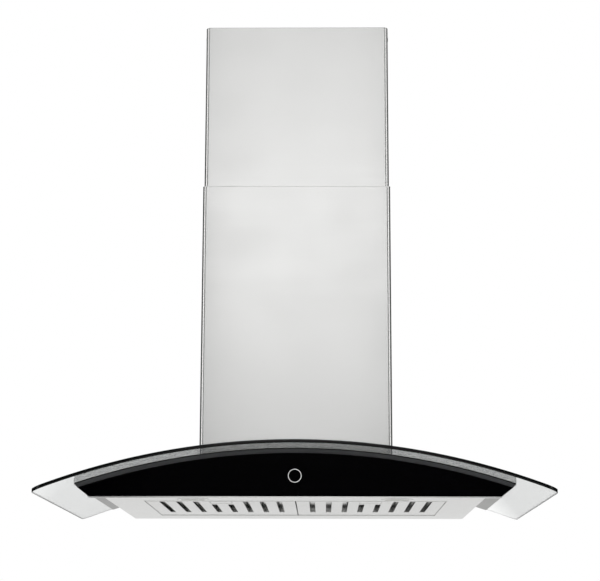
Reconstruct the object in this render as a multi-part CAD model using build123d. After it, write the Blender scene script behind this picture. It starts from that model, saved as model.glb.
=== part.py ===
from build123d import *
import math
import os

# Island range hood, in millimetres, +Z up, with its front towards -Y.
# The origin is the middle of the ceiling plate's top face, where the hood hangs.

# Overall form
hood_height = 909.0  # ceiling to the underside of the body
canopy_width = 900.0
canopy_depth = 650.0
canopy_radius = 1239.0  # bend radius of the underside of the glass
canopy_corner = 20.0  # plan corners of the glass
canopy_end_rise = 3.0  # ends of the glass above the underside of the body
glass_overhang = 77.0  # glass in front of the fascia and behind the body
glass_thickness = 6.0
gasket_thickness = 1.0
air_gap = 0.3  # between pieces that must not rub
pin_clearance = 0.05  # radial, for pins and shafts
screw_clearance = 0.2  # radial, for screws in sheet metal
thread_end = 1.0  # screw ends beyond the sheets they hold
cut = 1.0  # overshoot of holes and windows past a face

# Chimney covers
chimney_width = 352.0
chimney_depth = 280.0
chimney_corner = 7.0
chimney_sheet = 1.0
chimney_slide_gap = 1.2  # lower cover to upper cover
lower_chimney_top = 593.0  # above the underside of the body
cover_lap_length = 180.0  # upper cover inside the lower cover at rest
ceiling_gap = 1.0  # upper cover to ceiling
seam_lap_width = 24.0
seam_lap_sheet = 0.8
seam_end_margin = 25.0
rivet_radius = 2.0
rivet_head_radius = 3.6
rivet_head_height = 0.8
rivets_per_seam = 4

# Ceiling plate and hanging frame
ceiling_sheet = 2.0
ceiling_flange = 30.0
ceiling_fit = 0.3  # plate flanges to the inside of the upper cover
duct_opening = 170.0
duct_opening_corner = 12.0
ceiling_hole_radius = 4.5
ceiling_hole_spacing_x = 200.0
ceiling_hole_spacing_y = 230.0
post_leg = 25.0
post_sheet = 2.0
post_grip = 110.0  # lower posts along the blower box
post_lap_length = 90.0  # upper posts along the lower posts
post_screw_margin = 27.5  # post screws from the ends of a grip or lap
lower_post_rise = 260.0  # lower posts above the blower box
frame_screw_radius = 2.5
frame_screw_head_radius = 4.6
frame_screw_head = 2.6

# Blower box on the glass
box_sheet = 1.2
box_flange = 18.0
box_side_room = 3.0  # flange to the inside of the upper cover
box_height = 246.0  # above the crown of the glass
air_margin = 12.0  # glass edge inside the box wall
glass_opening_corner = 15.0
clamp_bolt_radius = 3.0
clamp_hole_clearance = 1.0  # radial, for the clamp bolts in the glass
clamp_head_across = 10.0
clamp_head_height = 4.0
clamp_nut_height = 5.0

# Blower
wheel_radius = 66.0
wheel_width = 80.0
wheel_ring = 12.0  # radial depth of the blades
wheel_disc = 2.0
wheel_end_ring = 2.5
blade_count = 36
blade_sheet = 1.0
blade_lean = 28.0  # degrees from radial
blade_inset = 0.8  # blade ends inside the end rings
hub_radius = 11.0
hub_front = 12.0  # hub before and behind the middle disc
hub_rear = 6.0
hub_fit = 0.025  # radial, hub on shaft
shaft_radius = 4.0
scroll_start_gap = 9.5  # wheel to the first quarter of the scroll
scroll_step = 8.5  # widening of each quarter
scroll_wall = 2.0
scroll_side_gap = 5.0  # wheel to the side of the scroll
scroll_flange = 12.0
inlet_radius = 56.0
scroll_base_room = 15.0  # scroll above the crown of the glass
motor_radius = 34.0
motor_length = 54.0
motor_to_hub = 2.0
motor_rim = 2.0
motor_boss_radius = 17.0
motor_boss = 4.0
motor_back = 2.0  # motor behind its shaft bore
shaft_end_gap = 1.0
bracket_sheet = 3.0
bracket_ring = 9.0
bracket_spoke = 14.0
bracket_arms = 3
bracket_lap = 1.0  # outer ring over the rim of the inlet
blower_screw_radius = 2.0
blower_screw_head_radius = 3.6
blower_screw_head = 2.0
capacitor_radius = 16.0
capacitor_height = 60.0
capacitor_rim = 2.0
capacitor_stud_radius = 4.0
capacitor_nut_radius = 6.8
capacitor_nut = 5.0
terminal_spacing = 10.6
terminal_sheet = 0.8
terminal_width = 6.0
terminal_height = 9.0
capacitor_inset_x = 42.0  # from the box wall
capacitor_inset_y = 40.0
gland_radius = 8.0
gland_across = 22.0
gland_height = 18.0
gland_hexagon = 6.0
gland_nut = 4.5
gland_dome_inset = 2.0
gland_dome_round = 3.0
gland_bore = 4.5

# Duct collar and damper
collar_radius = 75.0
collar_sheet = 1.5
collar_height = 60.0
collar_flange = 17.0
damper_height = 32.0  # damper pin above the box
damper_pin_radius = 2.0
damper_sheet = 1.0
damper_knuckle_radius = 3.2
damper_knuckle = 14.0
damper_ledge = 2.5
damper_edge_gap = 1.0
damper_knuckle_gap = 0.5  # flap to the other flap's knuckles
left_knuckle_offset = 50.0
right_knuckle_offset = 25.0
collar_screw_inset = 8.0

# Body under the glass
body_width = 664.0
body_sheet = 1.0
pan_sheet = 1.2
pan_flange = 14.0
support_side_reach = 55.0  # support plate beyond the body, each side
support_sheet = 1.5
support_rear_gap = 10.0  # support plate inside the rear edge of the glass
pan_screw_radius = 2.0
pan_screw_head_radius = 3.8
pan_screw_head = 1.6
screw_end_margin = 40.0
carrier_screw_rise = 6.0  # carrier screws above the pan's rim

# Front fascia
fascia_thickness = 4.0
fascia_side_reach = 28.0  # foot of the fascia beyond the body, each side
fascia_end_slant = 21.0  # each end, foot to head
trim_end_slant = 5.5  # each end of the trim band, foot to head
trim_height = 8.9  # fascia to glass
trim_setback = 0.6
trim_joint = 0.3
trim_glass_gap = 0.8
carrier_sheet = 1.2
lip_thickness = 2.4
lip_proud = 0.6
ring_height = 38.6  # touch ring above the underside of the body
ring_outer_radius = 12.4
ring_line = 1.3
ring_depth = 0.6
board_width = 46.0
board_height = 30.0
board_sheet = 1.6
board_clearance = 1.0
chip_size = 15.4
housing_width = 70.0
housing_height = 44.0
housing_depth = 30.0
housing_wall = 2.0

# Lamps
lamp_spacing = 360.0
lamp_radius = 26.0
lamp_bezel_radius = 28.5
lamp_bezel = 0.8
lamp_height = 20.0
lamp_wall = 1.5
lens_radius = 22.0
lens_thickness = 2.0
lamp_hole_clearance = 0.4

# Supply electronics
supply_width = 90.0
supply_height = 36.0
supply_sheet = 1.0
supply_room = 8.0  # supply box to the filter opening
supply_offset = 50.0  # supply box from the middle of the hood
supply_lid_sheet = 1.0
board_edge_gap = 1.0
transformer_size = 18.0
transformer_inset = 30.0  # from the outer end of the supply box

# Filters
front_strip = 66.0  # fascia front to the filter opening
side_strip = 60.0  # filter opening to the sides of the body
rear_strip = 76.0  # filter opening to the back of the body
filter_gap = 2.0
filter_ledge = 5.0  # rear edge of the opening under the filter
filter_height = 22.0
filter_sheet = 1.0
filter_drip_edge = 0.6  # front rim of the filter below the pan
opening_lip = 16.0  # upturned edge of the pan round the opening
slot_count = 8
slot_pitch = 30.2
slot_width = 10.0
slot_corner = 2.0
slot_front_margin = 32.0
slot_rear_margin = 72.0
latch_slot_setback = 62.0  # extra front margin of the slots behind the latch
baffle_width = 20.0
baffle_leg = 6.0
baffle_sheet = 0.8
baffle_rise = 8.0
latch_pad_width = 38.0
latch_pad_length = 56.0
latch_travel = 6.0
latch_window_gap = 1.0
latch_front_margin = 13.0
latch_slide_lap = 4.0
latch_slide_sheet = 1.5
latch_tongue_width = 22.0
latch_tongue_gap = 0.6  # tongue to the pan's front lip
latch_ridge = 2.5
latch_ridge_inset = 6.0
latch_ridge_round = 0.8
latch_rail_height = 3.3
spring_radius = 3.0
spring_wire = 0.6
spring_turns = 6
spring_length = 16.0
spring_stop_width = 23.0
spring_stop_sheet = 1.5

# Widths, heights and radii that follow from the sizes above
body_depth = canopy_depth - 2 * glass_overhang
support_width = body_width + 2 * support_side_reach
fascia_foot_width = body_width + 2 * fascia_side_reach
fascia_head_width = fascia_foot_width + 2 * fascia_end_slant
trim_head_width = fascia_head_width + 2 * trim_end_slant
filter_opening_width = body_width - 2 * side_strip
filter_opening_depth = body_depth - front_strip - rear_strip

z_under = -hood_height
canopy_axis_z = z_under + canopy_end_rise - math.sqrt(canopy_radius**2 - (canopy_width / 2) ** 2)
r_glass_in = canopy_radius
r_glass_out = r_glass_in + glass_thickness
r_support_out = r_glass_in - gasket_thickness
r_support_in = r_support_out - support_sheet
r_flange_in = r_glass_out + gasket_thickness
r_flange_out = r_flange_in + box_sheet
z_crown = canopy_axis_z + r_glass_out
z_box_top = z_crown + box_height
z_box_ceiling = z_box_top - box_sheet

upper_width = chimney_width - 2 * (chimney_sheet + chimney_slide_gap)
upper_depth = chimney_depth - 2 * (chimney_sheet + chimney_slide_gap)
z_lower_top = z_under + lower_chimney_top
upper_inner_x = upper_width / 2 - chimney_sheet
upper_inner_y = upper_depth / 2 - chimney_sheet
box_x = upper_inner_x - box_side_room - box_flange
box_y = upper_inner_y - box_side_room - box_flange
glass_open_x = box_x - box_sheet - air_margin
glass_open_y = box_y - box_sheet - air_margin

y_front = -body_depth / 2
y_carrier = y_front + fascia_thickness
y_shell = y_carrier + carrier_sheet
y_shell_inner = y_shell + body_sheet
y_rear = body_depth / 2
y_open_front = y_front + front_strip
y_open_rear = y_open_front + filter_opening_depth
r_fascia = r_glass_in - trim_height
z_face = z_under + pan_sheet + air_gap
filter_width = (filter_opening_width - 3 * filter_gap) / 2
filter_y_front = y_open_front + filter_gap
filter_y_rear = y_open_rear - filter_gap
lamp_y = (y_shell_inner + y_open_front - pan_sheet) / 2

scroll_radius = wheel_radius + scroll_start_gap
scroll_right = scroll_step / 2 + scroll_radius + 2 * scroll_step
scroll_left_wall = -scroll_step / 2
blower_x = -(scroll_right + scroll_left_wall) / 2
blower_z = z_crown + scroll_base_room + scroll_radius + scroll_step * 1.5
scroll_half = wheel_width / 2 + scroll_side_gap
scroll_side = scroll_half + scroll_wall
outlet_x = (scroll_right - scroll_left_wall) / 2
collar_bore = collar_radius - collar_sheet


# Shared building blocks


def block(x0, x1, y0, y1, z0, z1):
    """Upright block between two corners."""
    middle = Pos((x0 + x1) / 2, (y0 + y1) / 2, (z0 + z1) / 2)
    return middle * Box(abs(x1 - x0), abs(y1 - y0), abs(z1 - z0))


def plan_block(half_x, half_y, corner, z0, z1):
    """Block with rounded plan corners, centred on the hood."""
    return Pos(0, 0, z0) * extrude(RectangleRounded(2 * half_x, 2 * half_y, corner), z1 - z0)


def along_y(radius, y0, y1, x=0.0, z=0.0):
    """Round bar along Y."""
    return Pos(x, (y0 + y1) / 2, z) * Rot(90, 0, 0) * Cylinder(radius, abs(y1 - y0))


def upright(radius, z0, z1, x=0.0, y=0.0):
    """Round bar along Z."""
    return Pos(x, y, (z0 + z1) / 2) * Cylinder(radius, abs(z1 - z0))


def arc_height(x, radius):
    """Height of a canopy arc at a given X."""
    return canopy_axis_z + math.sqrt(radius**2 - x**2)


def under_arc(radius):
    """Everything below a canopy arc."""
    return along_y(radius, -canopy_depth, canopy_depth, z=canopy_axis_z)


def bent_sheet(r_in, r_out, plan):
    """Sheet between two canopy arcs with the outline of a plan block."""
    return (plan & under_arc(r_out)) - under_arc(r_in)


def square_on_arc(x, y, radius):
    """Place that stands square on a canopy arc."""
    tilt = math.degrees(math.asin(x / radius))
    return Pos(x, y, arc_height(x, radius)) * Rot(0, tilt, 0)


def screw(shank_radius, head_radius, head_height, length):
    """Socket screw along Z, its head above Z = 0."""
    head = upright(head_radius, 0, head_height)
    socket = Pos(0, 0, head_height / 2) * extrude(RegularPolygon(head_radius / 2, 6), head_height)
    return head - socket + upright(shank_radius, -length, 0)


def facing_x(side):
    """Turn that points Z outwards along X."""
    return Rot(0, 90 * side, 0)


corners = [(sx, sy) for sx in (-1, 1) for sy in (-1, 1)]
sides = {"left": -1, "right": 1}
plan_low = z_under
plan_high = z_crown + box_height


# Chimney covers


def chimney_tube(width, depth, z0, z1):
    """Bent steel sleeve with rounded upright corners."""
    outer = plan_block(width / 2, depth / 2, chimney_corner, z0, z1)
    inner_x = width / 2 - chimney_sheet
    inner_y = depth / 2 - chimney_sheet
    return outer - plan_block(inner_x, inner_y, chimney_corner - chimney_sheet, z0 - cut, z1 + cut)


def seam_places(width, z0, z1):
    """Rivet places on the side seams, with Z pointing outwards."""
    span = z1 - z0 - 2 * seam_end_margin
    for side in (-1, 1):
        for index in range(rivets_per_seam):
            z = z0 + seam_end_margin + span * (index + 0.5) / rivets_per_seam
            yield Pos(side * width / 2, seam_lap_width / 4, z) * facing_x(side)


def chimney_cover(width, depth, z0, z1, seam, heads_outside):
    """Front half with seam laps, rear half and the rivets that join them along the seam."""
    tube = chimney_tube(width, depth, z0, z1) - under_arc(r_glass_out + air_gap)
    front = tube & block(-width, width, -depth, 0, z0, z1)
    rear = tube & block(-width, width, 0, depth, z0, z1)
    inner_x = width / 2 - chimney_sheet
    for side in (-1, 1):
        lap = (side * (inner_x - seam_lap_sheet), side * inner_x, -seam_lap_width / 2, seam_lap_width / 2)
        front += block(*lap, seam[0] + seam_end_margin, seam[1] - seam_end_margin)
    grip = chimney_sheet + seam_lap_sheet
    head = upright(rivet_head_radius, 0, rivet_head_height)
    head = fillet(head.edges().group_by(Axis.Z)[-1], rivet_head_height / 2)
    rivet = head + upright(rivet_radius, -grip, 0)
    if not heads_outside:
        rivet = Pos(0, 0, -grip) * Rot(180, 0, 0) * rivet
    rivets = []
    for place in seam_places(width, *seam):
        hole = place * upright(rivet_radius + pin_clearance, -grip - cut, cut)
        front -= hole
        rear -= hole
        rivets.append(place * rivet)
    return front, rear, Compound(children=rivets)


# Ceiling plate and hanging frame

plate_x = upper_inner_x - ceiling_fit
plate_y = upper_inner_y - ceiling_fit
z_plate = -ceiling_sheet
z_flange = z_plate - ceiling_flange
post_x = {"lower": box_x, "upper": box_x + post_sheet}
post_y = {"lower": box_y, "upper": box_y + post_sheet}
z_lower_posts = (z_box_top - post_grip, z_box_top + lower_post_rise)
z_upper_posts = (z_lower_posts[1] - post_lap_length, z_plate)
frame_screw_heights = [
    z_box_top - post_grip + post_screw_margin,
    z_box_top - post_screw_margin,
    z_lower_posts[1] - post_lap_length + post_screw_margin,
    z_lower_posts[1] - post_screw_margin,
]
foot_x = post_x["upper"] + post_sheet - post_leg / 2
foot_y = post_y["upper"] + post_sheet - post_leg / 2
chimney_screw_z = z_plate - ceiling_flange / 2


def frame_holes(radius, z0, z1):
    """Cross holes for the post screws between two heights."""
    y_hole = box_y + post_sheet - post_leg / 2
    heights = [z for z in frame_screw_heights if z0 < z < z1]
    holes = []
    for sx, sy in corners:
        for z in heights:
            place = Pos(sx * box_x, sy * y_hole, z) * facing_x(sx)
            holes.append(place * upright(radius, -post_leg / 2, post_leg / 2))
    return holes


def post(kind, sx, sy):
    """L-angle that hugs a corner of the frame; an upper post ends in a foot."""
    x_in = post_x[kind]
    y_in = post_y[kind]
    z0, z1 = z_lower_posts if kind == "lower" else z_upper_posts
    x_out = x_in + post_sheet
    y_out = y_in + post_sheet
    angle = block(sx * (x_out - post_leg), sx * x_out, sy * (y_out - post_leg), sy * y_out, z0, z1)
    z_foot = z1 if kind == "lower" else z1 - post_sheet
    z_hollow = z1 + cut if kind == "lower" else z_foot
    angle -= block(sx * (x_in - post_leg), sx * x_in, sy * (y_in - post_leg), sy * y_in, z0 - cut, z_hollow)
    if kind == "upper":
        foot_hole = upright(frame_screw_radius + screw_clearance, z_foot - cut, z1 + cut)
        angle -= Pos(sx * foot_x, sy * foot_y, 0) * foot_hole
    for hole in frame_holes(frame_screw_radius + screw_clearance, z0, z1):
        angle -= hole
    return angle


def ceiling_plate():
    """Plate with a duct opening, downturned flanges and four fixing holes."""
    corner = chimney_corner - chimney_sheet - ceiling_fit
    tray = plan_block(plate_x, plate_y, corner, z_flange, 0)
    inner_x = plate_x - ceiling_sheet
    inner_y = plate_y - ceiling_sheet
    tray -= plan_block(inner_x, inner_y, corner - ceiling_sheet, z_flange - cut, z_plate)
    tray -= plan_block(duct_opening / 2, duct_opening / 2, duct_opening_corner, z_plate - cut, cut)
    for sx, sy in corners:
        x = sx * ceiling_hole_spacing_x / 2
        y = sy * ceiling_hole_spacing_y / 2
        tray -= upright(ceiling_hole_radius, z_plate - cut, cut, x, y)
        tray -= upright(frame_screw_radius + screw_clearance, z_plate - cut, cut, sx * foot_x, sy * foot_y)
        place = Pos(sx * plate_x, y, chimney_screw_z) * facing_x(sx)
        tray -= place * upright(frame_screw_radius + screw_clearance, -ceiling_sheet - cut, cut)
    return tray


def frame_screws():
    """Screws of the posts and of the upper cover, into the blower box and the ceiling plate."""
    sizes = (frame_screw_radius, frame_screw_head_radius, frame_screw_head)
    screws = []
    y_hole = box_y + post_sheet - post_leg / 2
    for sx, sy in corners:
        for index, z in enumerate(frame_screw_heights):
            on_box = index < 2
            x_face = box_x + (post_sheet if on_box else 2 * post_sheet)
            grip = post_sheet + (box_sheet if on_box else post_sheet)
            place = Pos(sx * x_face, sy * y_hole, z) * facing_x(sx)
            screws.append(place * screw(*sizes, grip + thread_end))
        place = Pos(sx * foot_x, sy * foot_y, z_plate - post_sheet) * Rot(180, 0, 0)
        screws.append(place * screw(*sizes, ceiling_sheet + post_sheet))
    cover_screw = screw(*sizes, chimney_sheet + ceiling_fit + ceiling_sheet)
    screws += [place * cover_screw for place in chimney_screw_places()]
    return Compound(children=screws)


def chimney_screw_places():
    """Places on the upper cover's sides where it is screwed to the ceiling plate."""
    for sx, sy in corners:
        y = sy * ceiling_hole_spacing_y / 2
        yield Pos(sx * upper_width / 2, y, chimney_screw_z) * facing_x(sx)


# Canopy glass and its clamp

clamp_x = box_x + box_flange / 2
clamp_y = box_y + box_flange / 2


def clamp_places(radius):
    """Places of the four clamp bolts at a given radius, square to the canopy."""
    rise = Pos(0, 0, radius - r_glass_out)
    return [square_on_arc(sx * clamp_x, sy * clamp_y, r_glass_out) * rise for sx, sy in corners]


def clamp_holes(radius):
    """Holes for the four clamp bolts."""
    reach = r_flange_out - r_support_in
    return [place * upright(radius, -reach, reach) for place in clamp_places(r_glass_out)]


def air_opening(grow=0.0):
    """Way for the air through the canopy."""
    return plan_block(glass_open_x + grow, glass_open_y + grow, glass_opening_corner, plan_low, plan_high)


def canopy_glass():
    """Bent glass sheet with rounded plan corners and a middle opening."""
    plan = plan_block(canopy_width / 2, canopy_depth / 2, canopy_corner, plan_low, plan_high)
    glass = bent_sheet(r_glass_in, r_glass_out, plan) - air_opening()
    for hole in clamp_holes(clamp_bolt_radius + clamp_hole_clearance):
        glass -= hole
    return glass


def glass_gasket(r_in):
    """Ring gasket round the air opening, one gasket thickness deep."""
    plan = plan_block(box_x + box_flange, box_y + box_flange, glass_opening_corner, plan_low, plan_high)
    ring = bent_sheet(r_in, r_in + gasket_thickness, plan)
    ring -= plan_block(box_x - box_sheet, box_y - box_sheet, glass_opening_corner, plan_low, plan_high)
    for hole in clamp_holes(clamp_bolt_radius + screw_clearance):
        ring -= hole
    return ring


def support_plate():
    """Bent steel plate that carries the glass, from the fascia to near the rear edge."""
    y_back = canopy_depth / 2 - support_rear_gap
    plan = block(-support_width / 2, support_width / 2, y_shell, y_back, plan_low, plan_high)
    plate = bent_sheet(r_support_in, r_support_out, plan) - air_opening()
    for hole in clamp_holes(clamp_bolt_radius + screw_clearance):
        plate -= hole
    return plate


def blower_box():
    """Open-bottomed steel box with a flange bent to sit on the glass."""
    outer = block(-box_x, box_x, -box_y, box_y, plan_low, z_box_top)
    inner_x = box_x - box_sheet
    inner_y = box_y - box_sheet
    inside = block(-inner_x, inner_x, -inner_y, inner_y, plan_low - cut, z_box_ceiling)
    shell = outer - inside - under_arc(r_flange_in)
    plan = plan_block(box_x + box_flange, box_y + box_flange, glass_opening_corner, plan_low, plan_high)
    shell += bent_sheet(r_flange_in, r_flange_out, plan) - inside
    for hole in clamp_holes(clamp_bolt_radius + screw_clearance):
        shell -= hole
    for hole in frame_holes(frame_screw_radius + screw_clearance, z_lower_posts[0], z_box_top):
        shell -= hole
    roof = (z_box_ceiling - cut, z_box_top + cut)
    shell -= upright(collar_bore, *roof)
    for point in collar_screw_points():
        shell -= upright(blower_screw_radius + screw_clearance, *roof, *point)
    shell -= upright(gland_radius + screw_clearance, *roof, *gland_point)
    shell -= upright(capacitor_stud_radius + screw_clearance, *roof, *capacitor_point)
    return shell


def clamp_bolts():
    """Hexagon bolts on the box flange, square to the glass."""
    grip = r_flange_out - r_support_in + clamp_nut_height
    head = extrude(RegularPolygon(clamp_head_across / 2, 6, major_radius=False), clamp_head_height)
    bolt = head + upright(clamp_bolt_radius, -grip, 0)
    return Compound(children=[place * bolt for place in clamp_places(r_flange_out)])


def clamp_nuts():
    """Hexagon nuts under the support plate."""
    nut = extrude(RegularPolygon(clamp_head_across / 2, 6, major_radius=False), -clamp_nut_height)
    nut -= upright(clamp_bolt_radius + pin_clearance, -clamp_nut_height - cut, cut)
    return Compound(children=[place * nut for place in clamp_places(r_support_in - pin_clearance)])


# Blower


def scroll_face(inset):
    """Scroll outline in the XZ plane: three widening quarters and an upright outlet."""
    half = scroll_step / 2
    r1 = scroll_radius - inset
    r2 = r1 + scroll_step
    r3 = r2 + scroll_step
    first = (blower_x - half, blower_z - half)
    second = (blower_x + half, blower_z - half)
    third = (blower_x + half, blower_z + half)
    top = z_box_ceiling
    x_right = third[0] + r3
    tongue = (first[0], first[1] + r1)
    turn = math.sqrt(0.5)
    left = (first[0] - r1, first[1])
    bottom = (second[0], second[1] - r2)
    right = (x_right, third[1])
    quarters = ThreePointArc(tongue, (first[0] - r1 * turn, first[1] + r1 * turn), left)
    quarters += ThreePointArc(left, (second[0] - r2 * turn, second[1] - r2 * turn), bottom)
    quarters += ThreePointArc(bottom, (third[0] + r3 * turn, third[1] - r3 * turn), right)
    x_left = first[0] + inset
    walls = [right, (x_right, top), (x_left, top)]
    if inset:
        walls.append((x_left, tongue[1]))
    walls.append(tongue)
    return Plane.XZ * make_face(quarters + Polyline(*walls))


def scroll_housing(side):
    """One half of the scroll: wall, side plate with its inlet and outlet flange."""
    outward = (0, side, 0)
    outline = scroll_face(0)
    half = extrude(outline - scroll_face(scroll_wall), scroll_half, dir=outward)
    plate = Pos(0, side * scroll_half, 0) * extrude(outline, scroll_wall, dir=outward)
    plate -= along_y(inlet_radius, 0, side * 2 * scroll_side, blower_x, blower_z)
    half += plate
    flange_x = outlet_x + scroll_flange
    flange_y = side * (scroll_side + scroll_flange)
    flange = block(-flange_x, flange_x, 0, flange_y, z_box_ceiling - scroll_wall, z_box_ceiling)
    flange -= block(-outlet_x, outlet_x, 0, side * scroll_side, plan_low, z_box_top)
    half += flange
    for x, y in collar_screw_points():
        if y * side > 0:
            half -= upright(blower_screw_radius + pin_clearance, plan_low, z_box_top, x, y)
    if side > 0:
        for place in bracket_screw_places():
            half -= place * upright(blower_screw_radius + pin_clearance, -scroll_wall - cut, cut)
    return half


def wheel_bar(radius, y0, y1):
    """Round bar on the blower's axis."""
    return along_y(radius, y0, y1, blower_x, blower_z)


def impeller():
    """Drum of leaning blades on a middle disc, with end rings and a hub."""
    half = wheel_width / 2
    inner = wheel_radius - wheel_ring
    blade_length = (wheel_ring - 2 * blade_inset) / math.cos(math.radians(blade_lean))
    blade = Rot(0, 0, blade_lean) * Rectangle(blade_length, blade_sheet)
    spots = PolarLocations(wheel_radius - wheel_ring / 2, blade_count)
    blades = extrude(Sketch() + [spot * blade for spot in spots], half, both=True)
    drum = Pos(blower_x, 0, blower_z) * Rot(90, 0, 0) * blades
    drum += wheel_bar(wheel_radius, -wheel_disc / 2, wheel_disc / 2)
    for side in (-1, 1):
        ring = wheel_bar(wheel_radius, side * (half - wheel_end_ring), side * half)
        drum += ring - wheel_bar(inner, side * (half - wheel_end_ring), side * half)
    drum += wheel_bar(hub_radius, -hub_front, hub_rear)
    return drum - wheel_bar(shaft_radius + hub_fit, -hub_front - cut, hub_rear + cut)


y_motor = hub_rear + motor_to_hub
y_motor_end = y_motor + motor_length


def motor():
    """Round motor with a bore for its shaft and a stepped rear cap."""
    body = wheel_bar(motor_radius, y_motor, y_motor_end)
    body = fillet(body.edges().filter_by(GeomType.CIRCLE), motor_rim)
    body += wheel_bar(motor_boss_radius, y_motor_end, y_motor_end + motor_boss)
    return body - wheel_bar(shaft_radius + pin_clearance, y_motor - cut, y_motor_end - motor_back)


def motor_shaft():
    """Shaft from the hub into the motor."""
    return wheel_bar(shaft_radius, -hub_front, y_motor_end - motor_back - shaft_end_gap)


def bracket_screw_places():
    """Places on the bracket's outer ring, one to an arm, with Z pointing to the rear."""
    reach = inlet_radius + bracket_ring / 2
    for index in range(bracket_arms):
        angle = math.radians(90 + 360 / bracket_arms * index)
        x = blower_x + reach * math.cos(angle)
        z = blower_z + reach * math.sin(angle)
        yield Pos(x, scroll_side, z) * Rot(-90, 0, 0)


def motor_bracket():
    """Bracket with arms across the rear inlet that grips the motor."""
    y0 = scroll_side
    y1 = y0 + bracket_sheet
    reach = inlet_radius + bracket_ring
    frame = wheel_bar(reach, y0, y1) - wheel_bar(inlet_radius - bracket_lap, y0 - cut, y1 + cut)
    frame += wheel_bar(motor_radius + bracket_ring, y0, y1)
    for index in range(bracket_arms):
        arm = block(0, inlet_radius, y0, y1, -bracket_spoke / 2, bracket_spoke / 2)
        frame += Pos(blower_x, 0, blower_z) * Rot(0, -90 - 360 / bracket_arms * index, 0) * arm
    frame -= wheel_bar(motor_radius + pin_clearance, y0 - cut, y1 + cut)
    for place in bracket_screw_places():
        frame -= place * upright(blower_screw_radius + screw_clearance, -cut, bracket_sheet + cut)
    return frame


capacitor_point = (box_x - capacitor_inset_x, box_y - capacitor_inset_y)
gland_point = (box_x - capacitor_inset_x, -(box_y - capacitor_inset_y))


def capacitor():
    """Motor capacitor standing on the blower box by its stud and nut."""
    x, y = capacitor_point
    can = upright(capacitor_radius, z_box_top, z_box_top + capacitor_height, x, y)
    can = fillet(can.edges().group_by(Axis.Z)[-1], capacitor_rim)
    z_nut = z_box_ceiling - capacitor_nut
    can += upright(capacitor_stud_radius, z_nut - thread_end, z_box_top, x, y)
    can += Pos(x, y, z_nut) * extrude(RegularPolygon(capacitor_nut_radius, 6), capacitor_nut)
    z_terminal = z_box_top + capacitor_height + terminal_height
    for side in (-1, 1):
        terminal = Box(terminal_sheet, terminal_width, z_terminal - z_box_top)
        can += Pos(x + side * terminal_spacing / 2, y, (z_terminal + z_box_top) / 2) * terminal
    return can


def cable_gland():
    """Gland for the supply cable: hexagon, dome, thread and lock nut round a bore."""
    x, y = gland_point
    outline = RegularPolygon(gland_across / 2, 6, major_radius=False)
    dome = upright(gland_across / 2 - gland_dome_inset, z_box_top, z_box_top + gland_height, x, y)
    gland = fillet(dome.edges().group_by(Axis.Z)[-1], gland_dome_round)
    gland += Pos(x, y, z_box_top) * extrude(outline, gland_hexagon)
    gland += Pos(x, y, z_box_ceiling) * extrude(outline, -gland_nut)
    gland += upright(gland_radius, z_box_ceiling - gland_nut, z_box_top, x, y)
    return gland - upright(gland_bore, plan_low, z_box_top + gland_height + cut, x, y)


# Duct collar and damper

z_damper = z_box_top + damper_height


def collar_screw_points():
    """Screw points that lie on both the collar's and the scroll's flange."""
    x = outlet_x + collar_screw_inset
    y = scroll_side + collar_screw_inset
    return [(sx * x, sy * y) for sx, sy in corners]


def duct_collar():
    """Round spigot for the duct with a foot flange, a damper ledge and pin holes."""
    foot = upright(collar_radius + collar_flange, z_box_top, z_box_top + collar_sheet)
    tube = upright(collar_radius, z_box_top, z_box_top + collar_height)
    collar = foot + tube - upright(collar_bore, z_box_top - cut, z_box_top + collar_height + cut)
    z_ledge = z_damper - damper_sheet / 2 - air_gap
    ledge = upright(collar_bore, z_ledge - collar_sheet, z_ledge)
    collar += ledge - upright(collar_bore - damper_ledge, z_ledge - collar_sheet - cut, z_ledge + cut)
    collar -= along_y(damper_pin_radius + pin_clearance, -2 * collar_radius, 2 * collar_radius, z=z_damper)
    for x, y in collar_screw_points():
        foot_hole = upright(blower_screw_radius + screw_clearance, z_box_top - cut, z_ledge - collar_sheet)
        collar -= Pos(x, y, 0) * foot_hole
    return collar


def blower_screws():
    """Screws of the motor bracket, and from the scroll flange through the box into the collar."""
    sizes = (blower_screw_radius, blower_screw_head_radius, blower_screw_head)
    bracket_screw = screw(*sizes, bracket_sheet + scroll_wall)
    screws = [place * Pos(0, 0, bracket_sheet) * bracket_screw for place in bracket_screw_places()]
    collar_screw = screw(*sizes, collar_sheet + box_sheet + scroll_wall)
    upward = Pos(0, 0, z_box_ceiling - scroll_wall) * Rot(180, 0, 0)
    screws += [Pos(x, y, 0) * upward * collar_screw for x, y in collar_screw_points()]
    return Compound(children=screws)


def damper_pin():
    """Hinge pin across the collar, ending flush with its wall."""
    reach = collar_radius - pin_clearance
    return along_y(damper_pin_radius, -reach, reach, z=z_damper)


def damper_flap(side, knuckle_offset):
    """Half-disc flap with two knuckles on the pin."""
    radius = collar_bore - damper_edge_gap
    edge = damper_knuckle_radius + damper_knuckle_gap
    z0 = z_damper - damper_sheet / 2
    z1 = z_damper + damper_sheet / 2
    flap = upright(radius, z0, z1) & block(side * edge, side * radius, -radius, radius, z0, z1)
    for sy in (-1, 1):
        y0 = sy * knuckle_offset - damper_knuckle / 2
        y1 = y0 + damper_knuckle
        flap += block(0, side * edge, y0, y1, z0, z1)
        flap += along_y(damper_knuckle_radius, y0, y1, z=z_damper)
    return flap - along_y(damper_pin_radius + pin_clearance, -radius, radius, z=z_damper)


# Body under the glass

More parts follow.
